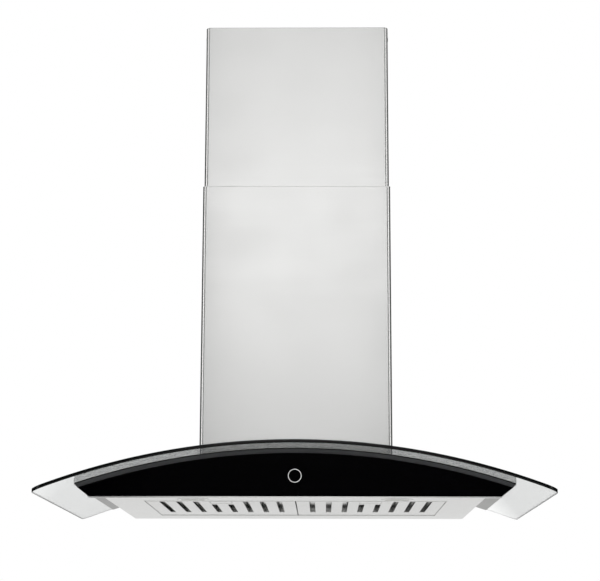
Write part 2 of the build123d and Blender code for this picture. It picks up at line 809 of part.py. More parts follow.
pan_x = body_width / 2 - body_sheet
pan_back = y_rear - body_sheet
z_pan = z_under + pan_sheet
pan_screw_z = z_pan + pan_flange / 2
carrier_screw_reach = [(housing_width / 2 + supply_offset) / 2, body_width / 2 - screw_end_margin]
carrier_screw_xs = [sx * reach for sx in (-1, 1) for reach in carrier_screw_reach]
carrier_screw_z = z_pan + pan_flange + carrier_screw_rise


def pan_screw_places():
    """Screw places round the sides and back of the body, with Z pointing outwards."""
    middle = (y_shell + y_rear) / 2
    reach = (y_rear - y_shell) / 2 - screw_end_margin
    for step in (-1, 0, 1):
        for side in (-1, 1):
            yield Pos(side * body_width / 2, middle + step * reach, pan_screw_z) * facing_x(side)
        yield Pos(step * (body_width / 2 - screw_end_margin), y_rear, pan_screw_z) * Rot(-90, 0, 0)


def board_window(y0, y1):
    """Window for the touch board."""
    half_x = board_width / 2 + board_clearance
    half_z = board_height / 2 + board_clearance
    z = z_under + ring_height
    return block(-half_x, half_x, y0, y1, z - half_z, z + half_z)


def carrier_screw_hole(x, radius, y0, y1):
    """Bar on a carrier screw's axis."""
    return along_y(radius, y0, y1, x, carrier_screw_z)


def body_shell():
    """Four steel walls between the pan and the support plate."""
    half = body_width / 2
    shell = block(-half, half, y_shell, y_rear, z_pan, plan_high)
    shell -= block(-pan_x, pan_x, y_shell_inner, pan_back, z_pan - cut, plan_high + cut)
    shell &= under_arc(r_support_in)
    shell -= board_window(y_shell - cut, y_shell_inner + cut)
    for place in pan_screw_places():
        shell -= place * upright(pan_screw_radius + screw_clearance, -body_sheet - cut, cut)
    for x in carrier_screw_xs:
        shell -= carrier_screw_hole(x, pan_screw_radius + screw_clearance, y_shell - cut, y_shell_inner + cut)
    return shell


def bottom_pan():
    """Flat underside with an upturned rim, lamp holes and the lipped filter opening."""
    half = body_width / 2
    open_x = filter_opening_width / 2
    pan = block(-half, half, y_shell, y_rear, z_under, z_pan)
    t = pan_sheet
    rim = block(-pan_x, pan_x, y_shell_inner, pan_back, z_pan, z_pan + pan_flange)
    rim -= block(-pan_x + t, pan_x - t, y_shell_inner + t, pan_back - t, z_pan - cut, plan_high)
    pan += rim
    pan += block(-open_x - t, open_x + t, y_open_front - t, y_open_rear + t, z_pan, z_pan + opening_lip)
    pan -= block(-open_x, open_x, y_open_front, y_open_rear, z_pan, plan_high)
    pan -= block(-open_x, open_x, y_open_front, y_open_rear - filter_ledge, z_under - cut, plan_high)
    lamp_hole = upright(lamp_radius + lamp_hole_clearance, z_under - cut, z_pan + cut)
    for side in (-1, 1):
        pan -= Pos(side * lamp_spacing / 2, lamp_y, 0) * lamp_hole
    for place in pan_screw_places():
        pan -= place * upright(pan_screw_radius + pin_clearance, -body_sheet - pan_sheet - cut, cut)
    return pan


def body_screws():
    """Screws through the walls into the pan's rim, and from inside into the fascia carrier."""
    pan_screw = screw(pan_screw_radius, pan_screw_head_radius, pan_screw_head, body_sheet + pan_sheet)
    screws = [place * pan_screw for place in pan_screw_places()]
    carrier_screw = screw(pan_screw_radius, pan_screw_head_radius, pan_screw_head, body_sheet + carrier_sheet)
    inward = Rot(-90, 0, 0)
    screws += [Pos(x, y_shell_inner, carrier_screw_z) * inward * carrier_screw for x in carrier_screw_xs]
    return Compound(children=screws)


# Front fascia


def front_outline(foot, head, z_foot, radius):
    """Front outline with slanted ends and a top edge bent with the canopy."""
    z_head = arc_height(head / 2, radius)
    ends = Polyline((-head / 2, z_head), (-foot / 2, z_foot), (foot / 2, z_foot), (head / 2, z_head))
    crown = ThreePointArc((head / 2, z_head), (0, canopy_axis_z + radius), (-head / 2, z_head))
    return Plane.XZ * make_face(ends + crown)


def front_sheet(outline, y0, y1):
    """Outline made a sheet between two depths."""
    return Pos(0, y0, 0) * extrude(outline, y1 - y0, dir=(0, 1, 0))


def front_fascia():
    """Black glass panel with a groove for the touch ring."""
    outline = front_outline(fascia_foot_width, fascia_head_width, z_under + lip_thickness, r_fascia)
    panel = front_sheet(outline, y_front, y_carrier)
    return panel - touch_ring(pin_clearance)


def touch_ring(grow=0.0):
    """Light ring set flush in the fascia."""
    z = z_under + ring_height
    ring = along_y(ring_outer_radius + grow, y_front, y_front + ring_depth, z=z)
    return ring - along_y(ring_outer_radius - ring_line - grow, y_front - cut, y_front + 2 * ring_depth, z=z)


def canopy_trim():
    """Dark band that closes the joint between fascia and glass."""
    r_low = r_fascia + trim_joint
    r_high = r_glass_in - trim_glass_gap
    low_x = fascia_head_width / 2
    high_x = trim_head_width / 2
    low_z = arc_height(low_x, r_low)
    high_z = arc_height(high_x, r_high)
    outline = ThreePointArc((-low_x, low_z), (0, canopy_axis_z + r_low), (low_x, low_z))
    outline += Line((low_x, low_z), (high_x, high_z))
    outline += ThreePointArc((high_x, high_z), (0, canopy_axis_z + r_high), (-high_x, high_z))
    outline += Line((-high_x, high_z), (-low_x, low_z))
    return front_sheet(Plane.XZ * make_face(outline), y_front + trim_setback, y_carrier)


def fascia_carrier():
    """Steel sheet behind the fascia with a bright lip under its foot."""
    outline = front_outline(fascia_foot_width, fascia_head_width, z_under, r_glass_in - trim_glass_gap)
    sheet = front_sheet(outline, y_carrier, y_shell)
    half = fascia_foot_width / 2
    sheet += block(-half, half, y_front - lip_proud, y_shell, z_under, z_under + lip_thickness)
    sheet -= board_window(y_carrier - cut, y_shell + cut)
    for x in carrier_screw_xs:
        sheet -= carrier_screw_hole(x, pan_screw_radius + pin_clearance, y_carrier - cut, y_shell + cut)
    return sheet


def touch_board():
    """Sensor board against the back of the fascia."""
    z = z_under + ring_height
    half_x = board_width / 2
    half_z = board_height / 2
    board = block(-half_x, half_x, y_carrier, y_carrier + board_sheet, z - half_z, z + half_z)
    chip = chip_size / 2
    return board + block(-chip, chip, y_carrier, y_carrier + 2 * board_sheet, z - chip, z + chip)


def control_housing():
    """Plastic cup on the inside of the front wall, over the touch board."""
    z = z_under + ring_height
    half_x = housing_width / 2
    half_z = housing_height / 2
    y1 = y_shell_inner + housing_depth
    cup = block(-half_x, half_x, y_shell_inner, y1, z - half_z, z + half_z)
    cup = fillet(cup.edges().filter_by(Axis.Y), housing_wall)
    half_x -= housing_wall
    half_z -= housing_wall
    return cup - block(-half_x, half_x, y_shell_inner - cut, y1 - housing_wall, z - half_z, z + half_z)


# Lamps


def lamp_housing(side):
    """Round lamp can with a thin bezel under the pan."""
    x = side * lamp_spacing / 2
    z_bezel = z_under - lamp_bezel
    can = upright(lamp_radius, z_bezel, z_under + lamp_height, x, lamp_y)
    can += upright(lamp_bezel_radius, z_bezel, z_under, x, lamp_y)
    can -= upright(lens_radius + pin_clearance, z_bezel - cut, z_bezel + lens_thickness, x, lamp_y)
    hollow = lens_radius - lamp_wall
    return can - upright(hollow, z_bezel, z_under + lamp_height - lamp_wall, x, lamp_y)


def lamp_lens(side):
    """Frosted disc in the mouth of the lamp can."""
    z_bezel = z_under - lamp_bezel
    return upright(lens_radius, z_bezel, z_bezel + lens_thickness, side * lamp_spacing / 2, lamp_y)


# Supply electronics

supply_x0 = -supply_offset - supply_width
supply_x1 = -supply_offset
supply_y0 = y_shell_inner + pan_sheet
supply_y1 = y_open_front - pan_sheet - supply_room


def supply_box():
    """Open-topped steel box on the pan, behind the fascia."""
    box = block(supply_x0, supply_x1, supply_y0, supply_y1, z_pan, z_pan + supply_height)
    t = supply_sheet
    return box - block(supply_x0 + t, supply_x1 - t, supply_y0 + t, supply_y1 - t, z_pan + t, plan_high)


def supply_lid():
    """Lid on the supply box."""
    z = z_pan + supply_height
    return block(supply_x0, supply_x1, supply_y0, supply_y1, z, z + supply_lid_sheet)


def supply_board():
    """Power board with a transformer, standing on the floor of the supply box."""
    t = supply_sheet + board_edge_gap
    z = z_pan + supply_sheet
    board = block(supply_x0 + t, supply_x1 - t, supply_y0 + t, supply_y1 - t, z, z + board_sheet)
    core_x = supply_x0 + transformer_inset
    core_y = (supply_y0 + supply_y1) / 2
    core = transformer_size / 2
    return board + block(core_x - core, core_x + core, core_y - core, core_y + core, z, z + transformer_size)


# Filters

slot_front = filter_y_front + slot_front_margin
slot_rear = filter_y_rear - slot_rear_margin
z_filter_top = z_face + filter_height
z_slide = z_face + filter_sheet + air_gap
latch_y0 = filter_y_front + latch_front_margin
latch_y1 = latch_y0 + latch_pad_length
slide_y0 = latch_y0 - latch_slide_lap
slide_y1 = latch_y1 + latch_slide_lap + latch_travel
slide_x = latch_pad_width / 2 + latch_slide_lap


def filter_middle(side):
    """X of a filter's middle."""
    return side * (filter_gap + filter_width) / 2


def slot_offsets():
    """Slot places across a filter, from its middle."""
    return [(index - (slot_count - 1) / 2) * slot_pitch for index in range(slot_count)]


def filter_tray(side):
    """Slotted face with a rim, front drip edge, latch window, slide rails and a spring stop."""
    x = filter_middle(side)
    half = filter_width / 2
    t = filter_sheet
    tray = block(x - half, x + half, filter_y_front, filter_y_rear, z_face, z_filter_top)
    inner = half - t
    tray -= block(x - inner, x + inner, filter_y_front + t, filter_y_rear - t, z_face + t, z_filter_top + cut)
    tray += block(x - half, x + half, filter_y_front, filter_y_front + t, z_under - filter_drip_edge, z_face)
    for offset in slot_offsets():
        behind_latch = abs(offset) < slide_x
        y0 = slot_front + latch_slot_setback if behind_latch else slot_front
        slot = extrude(RectangleRounded(slot_width, slot_rear - y0, slot_corner), 3 * t)
        tray -= Pos(x + offset, (y0 + slot_rear) / 2, z_face - t) * slot
    gap = latch_window_gap
    window_x = latch_pad_width / 2 + gap
    window_y = (latch_y0 - gap, latch_y1 + latch_travel + gap)
    tray -= block(x - window_x, x + window_x, *window_y, z_face - cut, z_face + t + cut)
    rail = slide_x + air_gap
    for edge in (-1, 1):
        z_rail = z_face + t + latch_rail_height
        tray += block(x + edge * rail, x + edge * (rail + t), slide_y0, slide_y1, z_face + t, z_rail)
    stop_y = slide_y1 + spring_length
    stop = spring_stop_width / 2
    z_stop = z_slide + 2 * spring_radius
    tray += block(x - stop, x + stop, stop_y, stop_y + spring_stop_sheet, z_face + t, z_stop)
    tongue_x = latch_tongue_width / 2 + 2 * air_gap
    z_tongue = z_slide - air_gap
    tongue_y = (filter_y_front - cut, filter_y_front + t + cut)
    tongue_height = latch_slide_sheet + 2 * air_gap
    tray -= block(x - tongue_x, x + tongue_x, *tongue_y, z_tongue, z_tongue + tongue_height)
    return tray


def filter_baffles(side):
    """Inverted channels behind the slots, end to end in the rim."""
    x = filter_middle(side)
    y0 = filter_y_front + filter_sheet
    y1 = filter_y_rear - filter_sheet
    z0 = z_face + filter_sheet + baffle_rise
    channels = []
    for offset in slot_offsets():
        half = baffle_width / 2
        inner = half - baffle_sheet
        channel = block(-half, half, y0, y1, z0, z0 + baffle_leg)
        channel -= block(-inner, inner, y0 - cut, y1 + cut, z0 - cut, z0 + baffle_leg - baffle_sheet)
        channels.append(Pos(x + offset, 0, 0) * channel)
    return Compound(children=channels)


def filter_latch(side):
    """Finger pad flush with the face, its slide plate and the tongue at the front."""
    x = filter_middle(side)
    half = latch_pad_width / 2
    z1 = z_slide + latch_slide_sheet
    latch = block(x - half, x + half, latch_y0, latch_y1, z_face, z1)
    latch += block(x - slide_x, x + slide_x, slide_y0, slide_y1, z_slide, z1)
    tongue = latch_tongue_width / 2
    latch += block(x - tongue, x + tongue, y_open_front + latch_tongue_gap, slide_y0, z_slide, z1)
    ridge_x = half - latch_ridge_inset
    ridge_y = latch_y0 + latch_ridge_inset
    ridge = block(x - ridge_x, x + ridge_x, ridge_y, ridge_y + latch_ridge, z_under, z_face)
    return latch + fillet(ridge.edges().group_by(Axis.Z)[0].filter_by(Axis.X), latch_ridge_round)


def latch_spring(side):
    """Coil spring between the slide plate and its stop."""
    inset = spring_wire
    rise = spring_length - 2 * inset
    coil = Helix(rise / spring_turns, rise, spring_radius - spring_wire / 2)
    profile = Plane(coil @ 0, z_dir=coil % 0) * Circle(spring_wire / 2)
    wire = sweep(profile, path=coil, is_frenet=True)
    z = z_slide + spring_radius
    return Pos(filter_middle(side), slide_y1 + inset, z) * Rot(-90, 0, 0) * wire


# Every piece under its own name

pieces = {"ceiling_plate": ceiling_plate()}
for kind in ("upper", "lower"):
    for sx, sy in corners:
        corner_name = ("front" if sy < 0 else "rear") + ("_left" if sx < 0 else "_right")
        pieces[f"{kind}_post_{corner_name}"] = post(kind, sx, sy)
pieces["frame_screws"] = frame_screws()

z_upper_low = z_lower_top - cover_lap_length
upper_seam = (z_upper_low, z_flange)
upper = chimney_cover(upper_width, upper_depth, z_upper_low, -ceiling_gap, upper_seam, False)
for place in chimney_screw_places():
    hole = place * upright(frame_screw_radius + screw_clearance, -chimney_sheet - cut, cut)
    upper = (upper[0] - hole, upper[1] - hole, upper[2])
lower_seam = (z_crown, z_lower_top)
lower = chimney_cover(chimney_width, chimney_depth, z_under, z_lower_top, lower_seam, True)
for label, cover in (("upper", upper), ("lower", lower)):
    for name, shape in zip(("front", "rear", "rivets"), cover):
        pieces[f"{label}_chimney_{name}"] = shape

pieces["canopy_glass"] = canopy_glass()
pieces["glass_gasket_upper"] = glass_gasket(r_glass_out)
pieces["glass_gasket_lower"] = glass_gasket(r_support_out)
pieces["support_plate"] = support_plate()
pieces["blower_box"] = blower_box()
pieces["clamp_bolts"] = clamp_bolts()
pieces["clamp_nuts"] = clamp_nuts()

pieces["scroll_front"] = scroll_housing(-1)
pieces["scroll_rear"] = scroll_housing(1)
pieces["impeller"] = impeller()
pieces["motor_shaft"] = motor_shaft()
pieces["motor"] = motor()
pieces["motor_bracket"] = motor_bracket()
pieces["capacitor"] = capacitor()
pieces["cable_gland"] = cable_gland()

pieces["duct_collar"] = duct_collar()
pieces["blower_screws"] = blower_screws()
pieces["damper_pin"] = damper_pin()
pieces["damper_flap_left"] = damper_flap(-1, left_knuckle_offset)
pieces["damper_flap_right"] = damper_flap(1, right_knuckle_offset)

pieces["body_shell"] = body_shell()
pieces["bottom_pan"] = bottom_pan()
pieces["body_screws"] = body_screws()
pieces["front_fascia"] = front_fascia()
pieces["touch_ring"] = touch_ring()
pieces["canopy_trim"] = canopy_trim()
pieces["fascia_carrier"] = fascia_carrier()
pieces["touch_board"] = touch_board()
pieces["control_housing"] = control_housing()
pieces["supply_box"] = supply_box()
pieces["supply_lid"] = supply_lid()
pieces["supply_board"] = supply_board()

for name, side in sides.items():
    pieces[f"lamp_housing_{name}"] = lamp_housing(side)
    pieces[f"lamp_lens_{name}"] = lamp_lens(side)
    pieces[f"filter_tray_{name}"] = filter_tray(side)
    pieces[f"filter_baffles_{name}"] = filter_baffles(side)
    pieces[f"filter_latch_{name}"] = filter_latch(side)
    pieces[f"latch_spring_{name}"] = latch_spring(side)

os.makedirs("parts", exist_ok=True)
for name, shape in pieces.items():
    export_step(shape, f"parts/{name}.step")
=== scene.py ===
import math
from functools import partial

import bmesh
import bpy
import numpy as np
from bpy.props import FloatProperty, FloatVectorProperty, IntProperty, PointerProperty
from mathutils import Matrix, Vector


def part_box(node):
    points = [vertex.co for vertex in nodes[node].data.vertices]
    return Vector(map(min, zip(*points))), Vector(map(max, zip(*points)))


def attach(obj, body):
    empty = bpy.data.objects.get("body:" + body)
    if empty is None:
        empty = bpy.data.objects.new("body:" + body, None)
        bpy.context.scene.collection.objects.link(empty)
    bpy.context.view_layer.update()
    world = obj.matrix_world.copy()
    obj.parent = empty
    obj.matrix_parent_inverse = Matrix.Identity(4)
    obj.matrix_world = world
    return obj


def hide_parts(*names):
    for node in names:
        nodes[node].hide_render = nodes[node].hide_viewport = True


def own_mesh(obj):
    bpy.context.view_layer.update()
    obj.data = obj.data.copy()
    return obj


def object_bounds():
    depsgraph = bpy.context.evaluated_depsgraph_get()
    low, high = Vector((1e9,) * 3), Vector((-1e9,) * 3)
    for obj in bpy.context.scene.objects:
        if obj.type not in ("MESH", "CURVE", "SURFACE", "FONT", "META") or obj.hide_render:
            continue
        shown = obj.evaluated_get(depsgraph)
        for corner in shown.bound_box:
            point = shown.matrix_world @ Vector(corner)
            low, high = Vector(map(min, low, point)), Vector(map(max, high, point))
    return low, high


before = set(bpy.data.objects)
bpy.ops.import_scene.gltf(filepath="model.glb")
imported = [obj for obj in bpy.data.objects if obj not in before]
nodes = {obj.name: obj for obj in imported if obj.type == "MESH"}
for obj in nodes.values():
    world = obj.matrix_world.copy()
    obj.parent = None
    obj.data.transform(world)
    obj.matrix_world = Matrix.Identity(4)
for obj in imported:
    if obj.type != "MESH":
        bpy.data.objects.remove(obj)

bl_info = {
    "name": "Island Range Hood",
    "version": (1, 0, 0),
    "blender": (4, 5, 0),
    "location": "3D View > Sidebar > Hood",
    "description": "Finishes, canopy glass, fasteners and studio for a ceiling-hung island range hood",
    "category": "Object",
}

cad_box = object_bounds()

# Points closer than WELD are one, faces that meet at less than FLAT are one, and more than SHARP shows as an edge
WELD = 1e-6
FLAT = math.radians(0.2)
SHARP = math.radians(35)

WHITE = (1.0, 1.0, 1.0, 1.0)
GLASS_IOR = 1.52
# Height of the finest grain in a surface, and the range that holds most of a noise pattern
GRAIN_RELIEF = 0.0002
NOISE_SPREAD = (0.3, 0.7)

MATH = "ShaderNodeMath"
VECTOR_MATH = "ShaderNodeVectorMath"
MIX = "ShaderNodeMix"
RANGE = "ShaderNodeMapRange"
NOISE = "ShaderNodeTexNoise"
CELLS = "ShaderNodeTexVoronoi"
RAMP = "ShaderNodeValToRGB"

SIZES = {
    "glass_bend": (1.239, "Bend radius of the glass's underside"),
    "glass_thickness": (0.006, "Thickness of the glass"),
    "glass_corner": (0.020, "Plan corners of the glass"),
    "glass_arris": (0.0003, "Polished arris of the glass"),
    "glass_step": (0.0075, "Facet width along the glass's bend"),
    "air_opening_x": (0.1386, "Half width of the glass opening"),
    "air_opening_y": (0.1026, "Half depth of the glass opening"),
    "air_opening_corner": (0.015, "Corners of the glass opening"),
    "clamp_hole_x": (0.1608, "Clamp holes from the middle, sideways"),
    "clamp_hole_y": (0.1248, "Clamp holes from the middle, front to rear"),
    "clamp_hole_radius": (0.004, "Radius of the clamp holes"),
    "seal_lip": (0.0010, "Lip of the glass seal over the trim band"),
    "seal_proud": (0.0004, "Glass seal in front of the trim band"),
    "seal_gap": (0.00005, "Glass seal below the glass"),
    "rolled_bead": (0.0007, "Bead radius on top of the lower cover"),
    "cover_corner": (0.007, "Bent corners of the chimney covers"),
    "sheet_edge": (0.0004, "Rounding of cut sheet edges"),
    "ring_line": (0.0008, "Line width of the touch ring"),
    "ring_inset": (0.0007, "Touch ring inside the edge of its recess"),
    "pan_edge": (0.0008, "Rolled edge round the pan's filter opening"),
    "pan_clearance": (0.003, "Widest gap beside a filter in the pan"),
    "filter_side_gap": (0.0006, "Gap beside the filters"),
    "baffle_width": (0.020, "Width of a filter's channels"),
    "baffle_sheet": (0.0008, "Sheet of a filter's channels"),
    "baffle_bend": (0.0022, "Outer bend of a filter's channels"),
    "baffle_count": (8, "Channels behind a filter"),
    "blade_count": (36, "Blades of the blower wheel"),
    "blade_depth": (0.012, "Depth of the wheel's blades"),
    "blade_sheet": (0.001, "Thickness of the wheel's blades"),
    "blade_lean": (0.0055, "Lean of a blade across its depth"),
    "blade_bow": (0.0012, "Bow of a blade in its middle"),
    "wheel_ring": (0.0025, "Thickness of the wheel's end rings"),
    "wheel_disc": (0.002, "Thickness of the wheel's middle disc"),
    "hub_radius": (0.011, "Radius of the wheel's hub"),
    "hub_front": (0.012, "Hub in front of the middle disc"),
    "hub_rear": (0.006, "Hub behind the middle disc"),
    "hub_bore": (0.004025, "Bore of the hub"),
    "grain_width": (0.0009, "Width of the brushed lines, drawn coarse enough to show"),
    "grain_length": (0.22, "Length of the brushed lines"),
    "spangle": (0.009, "Crystal size of the galvanised sheet"),
    "plastic_grit": (0.0012, "Texture of moulded plastic, drawn coarse enough to show"),
    "lens_prism": (0.0018, "Prism pitch of the lamp lenses"),
    "floor_drop": (0.85, "Floor below the hood"),
    "floor_half": (9.0, "Half the side of the floor"),
}

COLOURS = {
    "chimney_steel": ("D5D5D4", "Brushed stainless steel of the chimney covers"),
    "body_steel": ("E2E2E1", "Brushed stainless steel of the body"),
    "support_steel": ("ACACAB", "Dull stainless steel of the support plate"),
    "filter_steel": ("E2E2E1", "Satin stainless steel of the filters"),
    "canopy_glass": ("F8FAF9", "Clear tempered glass of the canopy"),
    "glass_edge": ("090C0B", "Polished edge of the canopy glass"),
    "black_glass": ("020203", "Back-printed glass of the fascia"),
    "trim": ("303133", "Trim band between fascia and glass"),
    "touch_ring": ("F2F3F3", "Printed ring of the touch key"),
    "lens": ("EDEDE8", "Frosted lamp lenses"),
    "galvanised_sheet": ("B4B8BA", "Galvanised sheet steel"),
    "zinc_plate": ("B0B3B5", "Zinc-plated steel of the frame"),
    "fasteners": ("C2C4C6", "Bright zinc-plated fasteners"),
    "rubber": ("131313", "Gaskets"),
    "moulded_plastic": ("2B2C2E", "Scroll housing, collar and control housing"),
    "wheel_plastic": ("5A5C5F", "Impeller"),
    "motor_enamel": ("303234", "Motor"),
    "capacitor_can": ("E4E3DD", "Capacitor"),
    "circuit_board": ("1F5B36", "Circuit boards"),
}


def linear(hex_colour):
    """Linear colour of an sRGB hex value."""
    shares = [int(hex_colour[i:i + 2], 16) / 255 for i in (0, 2, 4)]
    return tuple(s / 12.92 if s <= 0.04045 else ((s + 0.055) / 1.055) ** 2.4 for s in shares)


def labelled(key, value, about):
    """Property for a hex colour, a count or a length in metres, with its label from its key."""
    words = {"name": key.replace("_", " ").title(), "description": about}
    if isinstance(value, str):
        return FloatVectorProperty(**words, default=linear(value), subtype="COLOR", size=3, min=0.0, max=1.0)
    if isinstance(value, int):
        return IntProperty(**words, default=value, min=2)
    return FloatProperty(**words, default=value, min=0.0, unit="LENGTH", precision=4)


class HoodSizes(bpy.types.PropertyGroup):
    """Sizes of the forms and patterns that the scene adds."""

    __annotations__ = {key: labelled(key, *row) for key, row in SIZES.items()}


class HoodColours(bpy.types.PropertyGroup):
    """Colours of the finishes."""

    __annotations__ = {key: labelled(key, *row) for key, row in COLOURS.items()}


def settings(context):
    """Sizes and colours as the panel shows them."""
    return context.scene.hood_sizes, context.scene.hood_colours


def feed(tree, node, inputs):
    """Gives each input of a node a value or a link from a socket."""
    for key, value in inputs.items():
        if isinstance(value, bpy.types.NodeSocket):
            tree.links.new(value, node.inputs[key])
        else:
            node.inputs[key].default_value = value


def add_node(tree, kind, inputs=(), out=0, stops=(), **choices):
    """Adds a node with its settings, inputs and grey stops, and gives one of its outputs."""
    node = tree.nodes.new(kind)
    for name, value in choices.items():
        setattr(node, name, value)
    for index, (spot, level) in enumerate(stops):
        # A new ramp has two stops already
        stop = node.color_ramp.elements[index] if index < 2 else node.color_ramp.elements.new(spot)
        stop.position, stop.color = spot, (level, level, level, 1.0)
    feed(tree, node, inputs if isinstance(inputs, dict) else dict(enumerate(inputs)))
    return node.outputs[out] if len(node.outputs) else node


def new_finish(name, inputs):
    """Material with a Principled shader, and the coordinates that its patterns read."""
    material = bpy.data.materials.new(name)
    material.use_nodes = True
    tree = material.node_tree
    shader = tree.nodes["Principled BSDF"]
    feed(tree, shader, inputs)
    return material, tree, shader, add_node(tree, "ShaderNodeTexCoord", out="Object")


def tinted(rgb, *shares):
    """Lighter or darker versions of a colour, with alpha."""
    return [(*(min(1.0, c * share) for c in rgb), 1.0) for share in shares]


def vary(tree, shader, pattern, shades, gloss=None, spread=(0.0, 1.0), relief=None):
    """Lets a pattern set a surface's shade, its roughness over a spread of the pattern, and its relief."""
    made = {"Base Color": add_node(tree, MIX, {0: pattern, 6: shades[0], 7: shades[1]}, 2, data_type="RGBA")}
    if gloss:
        made["Roughness"] = add_node(tree, RANGE, (pattern, *spread, *gloss))
    if relief:
        strength, height = relief
        made["Normal"] = add_node(
            tree, "ShaderNodeBump", {"Strength": strength, "Distance": height, "Height": pattern}
        )
    feed(tree, shader, made)


def patterned(name, inputs, kind, texture, shades, **looks):
    """Finish that varies with one pattern laid through the piece."""
    material, tree, shader, place = new_finish(name, inputs)
    vary(tree, shader, add_node(tree, kind, {"Vector": place, **texture}), shades, **looks)
    return material


def brushed_steel(name, rgb, sizes, rough, upright=False):
    """Brushed stainless steel: fine parallel lines that stretch highlights, with faint handling marks."""
    long, fine = 1.0 / sizes.grain_length, 1.0 / sizes.grain_width
    # Lines run round an upright piece, and from side to side on the others
    axis, turn, lines = ("Z", 0.25, (long, long, fine)) if upright else ("X", 0.0, (long, fine, fine))
    material, tree, shader, place = new_finish(
        name, {"Metallic": 1.0, "Anisotropic": 0.95, "Anisotropic Rotation": turn}
    )
    feed(tree, shader, {"Tangent": add_node(tree, "ShaderNodeTangent", direction_type="RADIAL", axis=axis)})
    stretched = add_node(tree, "ShaderNodeMapping", {"Vector": place, "Scale": lines})
    brush = add_node(tree, NOISE, {"Vector": stretched, "Scale": 1.0, "Detail": 2.0, "Roughness": 0.6})
    # Handling marks are about 12 cm across and change only the gloss
    marks = add_node(tree, NOISE, {"Vector": place, "Scale": 8.0, "Detail": 2.0})
    gloss = [
        add_node(tree, RANGE, (marks, 0.35, 0.65, end - 0.01, end + 0.01)) for end in (rough - 0.02, rough + 0.02)
    ]
    vary(tree, shader, brush, tinted(rgb, 0.96, 1.03), gloss, NOISE_SPREAD, relief=(0.03, GRAIN_RELIEF))
    return material


def galvanised_sheet(name, rgb, spangle):
    """Hot-dip galvanised sheet: angular zinc crystals, each with its own shade and gloss."""
    material, tree, shader, place = new_finish(name, {"Metallic": 1.0})
    crystals = add_node(tree, CELLS, {"Vector": place, "Scale": 1.0 / spangle}, "Color")
    pick = add_node(tree, "ShaderNodeSeparateColor", (crystals,))
    vary(tree, shader, pick, tinted(rgb, 0.82, 1.12), gloss=(0.34, 0.52))
    return material


def plated_steel(name, rgb, rough):
    """Zinc-plated steel: a bright, slightly cloudy film that turns from bluish to yellowish."""
    bluish = (rgb[0] * 0.93, rgb[1] * 0.98, rgb[2] * 1.04, 1.0)
    yellowish = (rgb[0] * 1.05, rgb[1] * 1.03, rgb[2] * 0.92, 1.0)
    # Clouds are about 1 cm across
    return patterned(
        name, {"Metallic": 1.0}, NOISE, {"Scale": 95.0, "Detail": 3.0}, (bluish, yellowish),
        gloss=(rough - 0.06, rough + 0.06), spread=NOISE_SPREAD,
    )


def moulded_plastic(name, rgb, grit, rough, bump, shine=0.5, glow=0.0):
    """Injection-moulded plastic: an even colour with a fine spark-eroded grit that breaks up the gloss."""
    return patterned(
        name,
        {"IOR": 1.5, "Specular IOR Level": shine, "Emission Color": (*rgb, 1.0), "Emission Strength": glow},
        NOISE, {"Scale": 1.0 / grit, "Detail": 2.0}, tinted(rgb, 0.9, 1.1),
        gloss=(rough - 0.05, rough + 0.05), spread=NOISE_SPREAD, relief=(bump, GRAIN_RELIEF),
    )


def clear_glass(name, rgb):
    """Tempered float glass: clear, with a trace of tint that drifts slowly across the sheet."""
    # The tint drifts over about 25 cm
    return patterned(
        name, {"Transmission Weight": 1.0, "IOR": GLASS_IOR, "Roughness": 0.0},
        NOISE, {"Scale": 4.0, "Detail": 0.0}, tinted(rgb, 0.98, 1.02),
    )


def polished_edge(name, rgb):
    """Ground and polished glass edge: a painted deep grey-green shade that stands in for the dark look of light that
    has crossed the whole sheet.
    """
    # The grinding wheel leaves a faint uneven line every few millimetres
    return patterned(
        name, {"IOR": GLASS_IOR, "Specular IOR Level": 0.2},
        NOISE, {"Scale": 240.0, "Detail": 2.0}, tinted(rgb, 0.6, 1.5), gloss=(0.02, 0.06),
    )


def black_printed_glass(name, rgb):
    """Glass printed black on its back: a deep black under a clear polished face with a trace of dust."""
    # Specks of dust are about 1 mm across
    return patterned(
        name, {"IOR": GLASS_IOR},
        NOISE, {"Scale": 900.0, "Detail": 4.0, "Roughness": 0.7}, tinted(rgb, 0.7, 1.4), gloss=(0.03, 0.07),
    )


def frosted_lens(name, rgb, prism):
    """Frosted acrylic: milky, with small prisms that spread the light."""
    return patterned(
        name, {"IOR": 1.49, "Transmission Weight": 0.35, "Roughness": 0.4},
        CELLS, {"Scale": 1.0 / prism}, tinted(rgb, 1.0, 0.8), relief=(0.5, 0.0004),
    )


def circuit_board(name, rgb):
    """Glass-fibre circuit board: green solder mask over slightly lighter copper tracks."""
    material, tree, shader, place = new_finish(name, {"Roughness": 0.35})
    dark, light, copper = tinted(rgb, 0.9, 1.1, 1.9)
    # Tracks run about 3 mm apart
    tracks = add_node(tree, "ShaderNodeTexBrick", {
        "Vector": place, "Color1": dark, "Color2": light, "Mortar": copper, "Scale": 80.0, "Mortar Size": 0.03,
    })
    feed(tree, shader, {"Base Color": tracks})
    return material


def dress(material, *names):
    """Gives CAD nodes a finish."""
    for name in names:
        slots = nodes[name].data.materials
        slots.clear()
        slots.append(material)


def fit(piece, body, slot, *replaced):
    """Seats a piece on its body, in place of CAD nodes; the slot it is given is not used."""
    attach(piece, body)
    for node in replaced:
        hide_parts(node)


def plain_object(name, data):
    """Object at the origin from its mesh, lamp or camera data."""
    piece = bpy.data.objects.new(name, data)
    bpy.context.scene.collection.objects.link(piece)
    return piece


def settle(piece):
    """Turns a piece and its modifiers into one plain mesh."""
    made = bpy.data.meshes.new_from_object(piece.evaluated_get(bpy.context.evaluated_depsgraph_get()))
    piece.modifiers.clear()
    piece.data = made
    if not made.polygons:
        raise RuntimeError(f"{piece.name} came out empty")


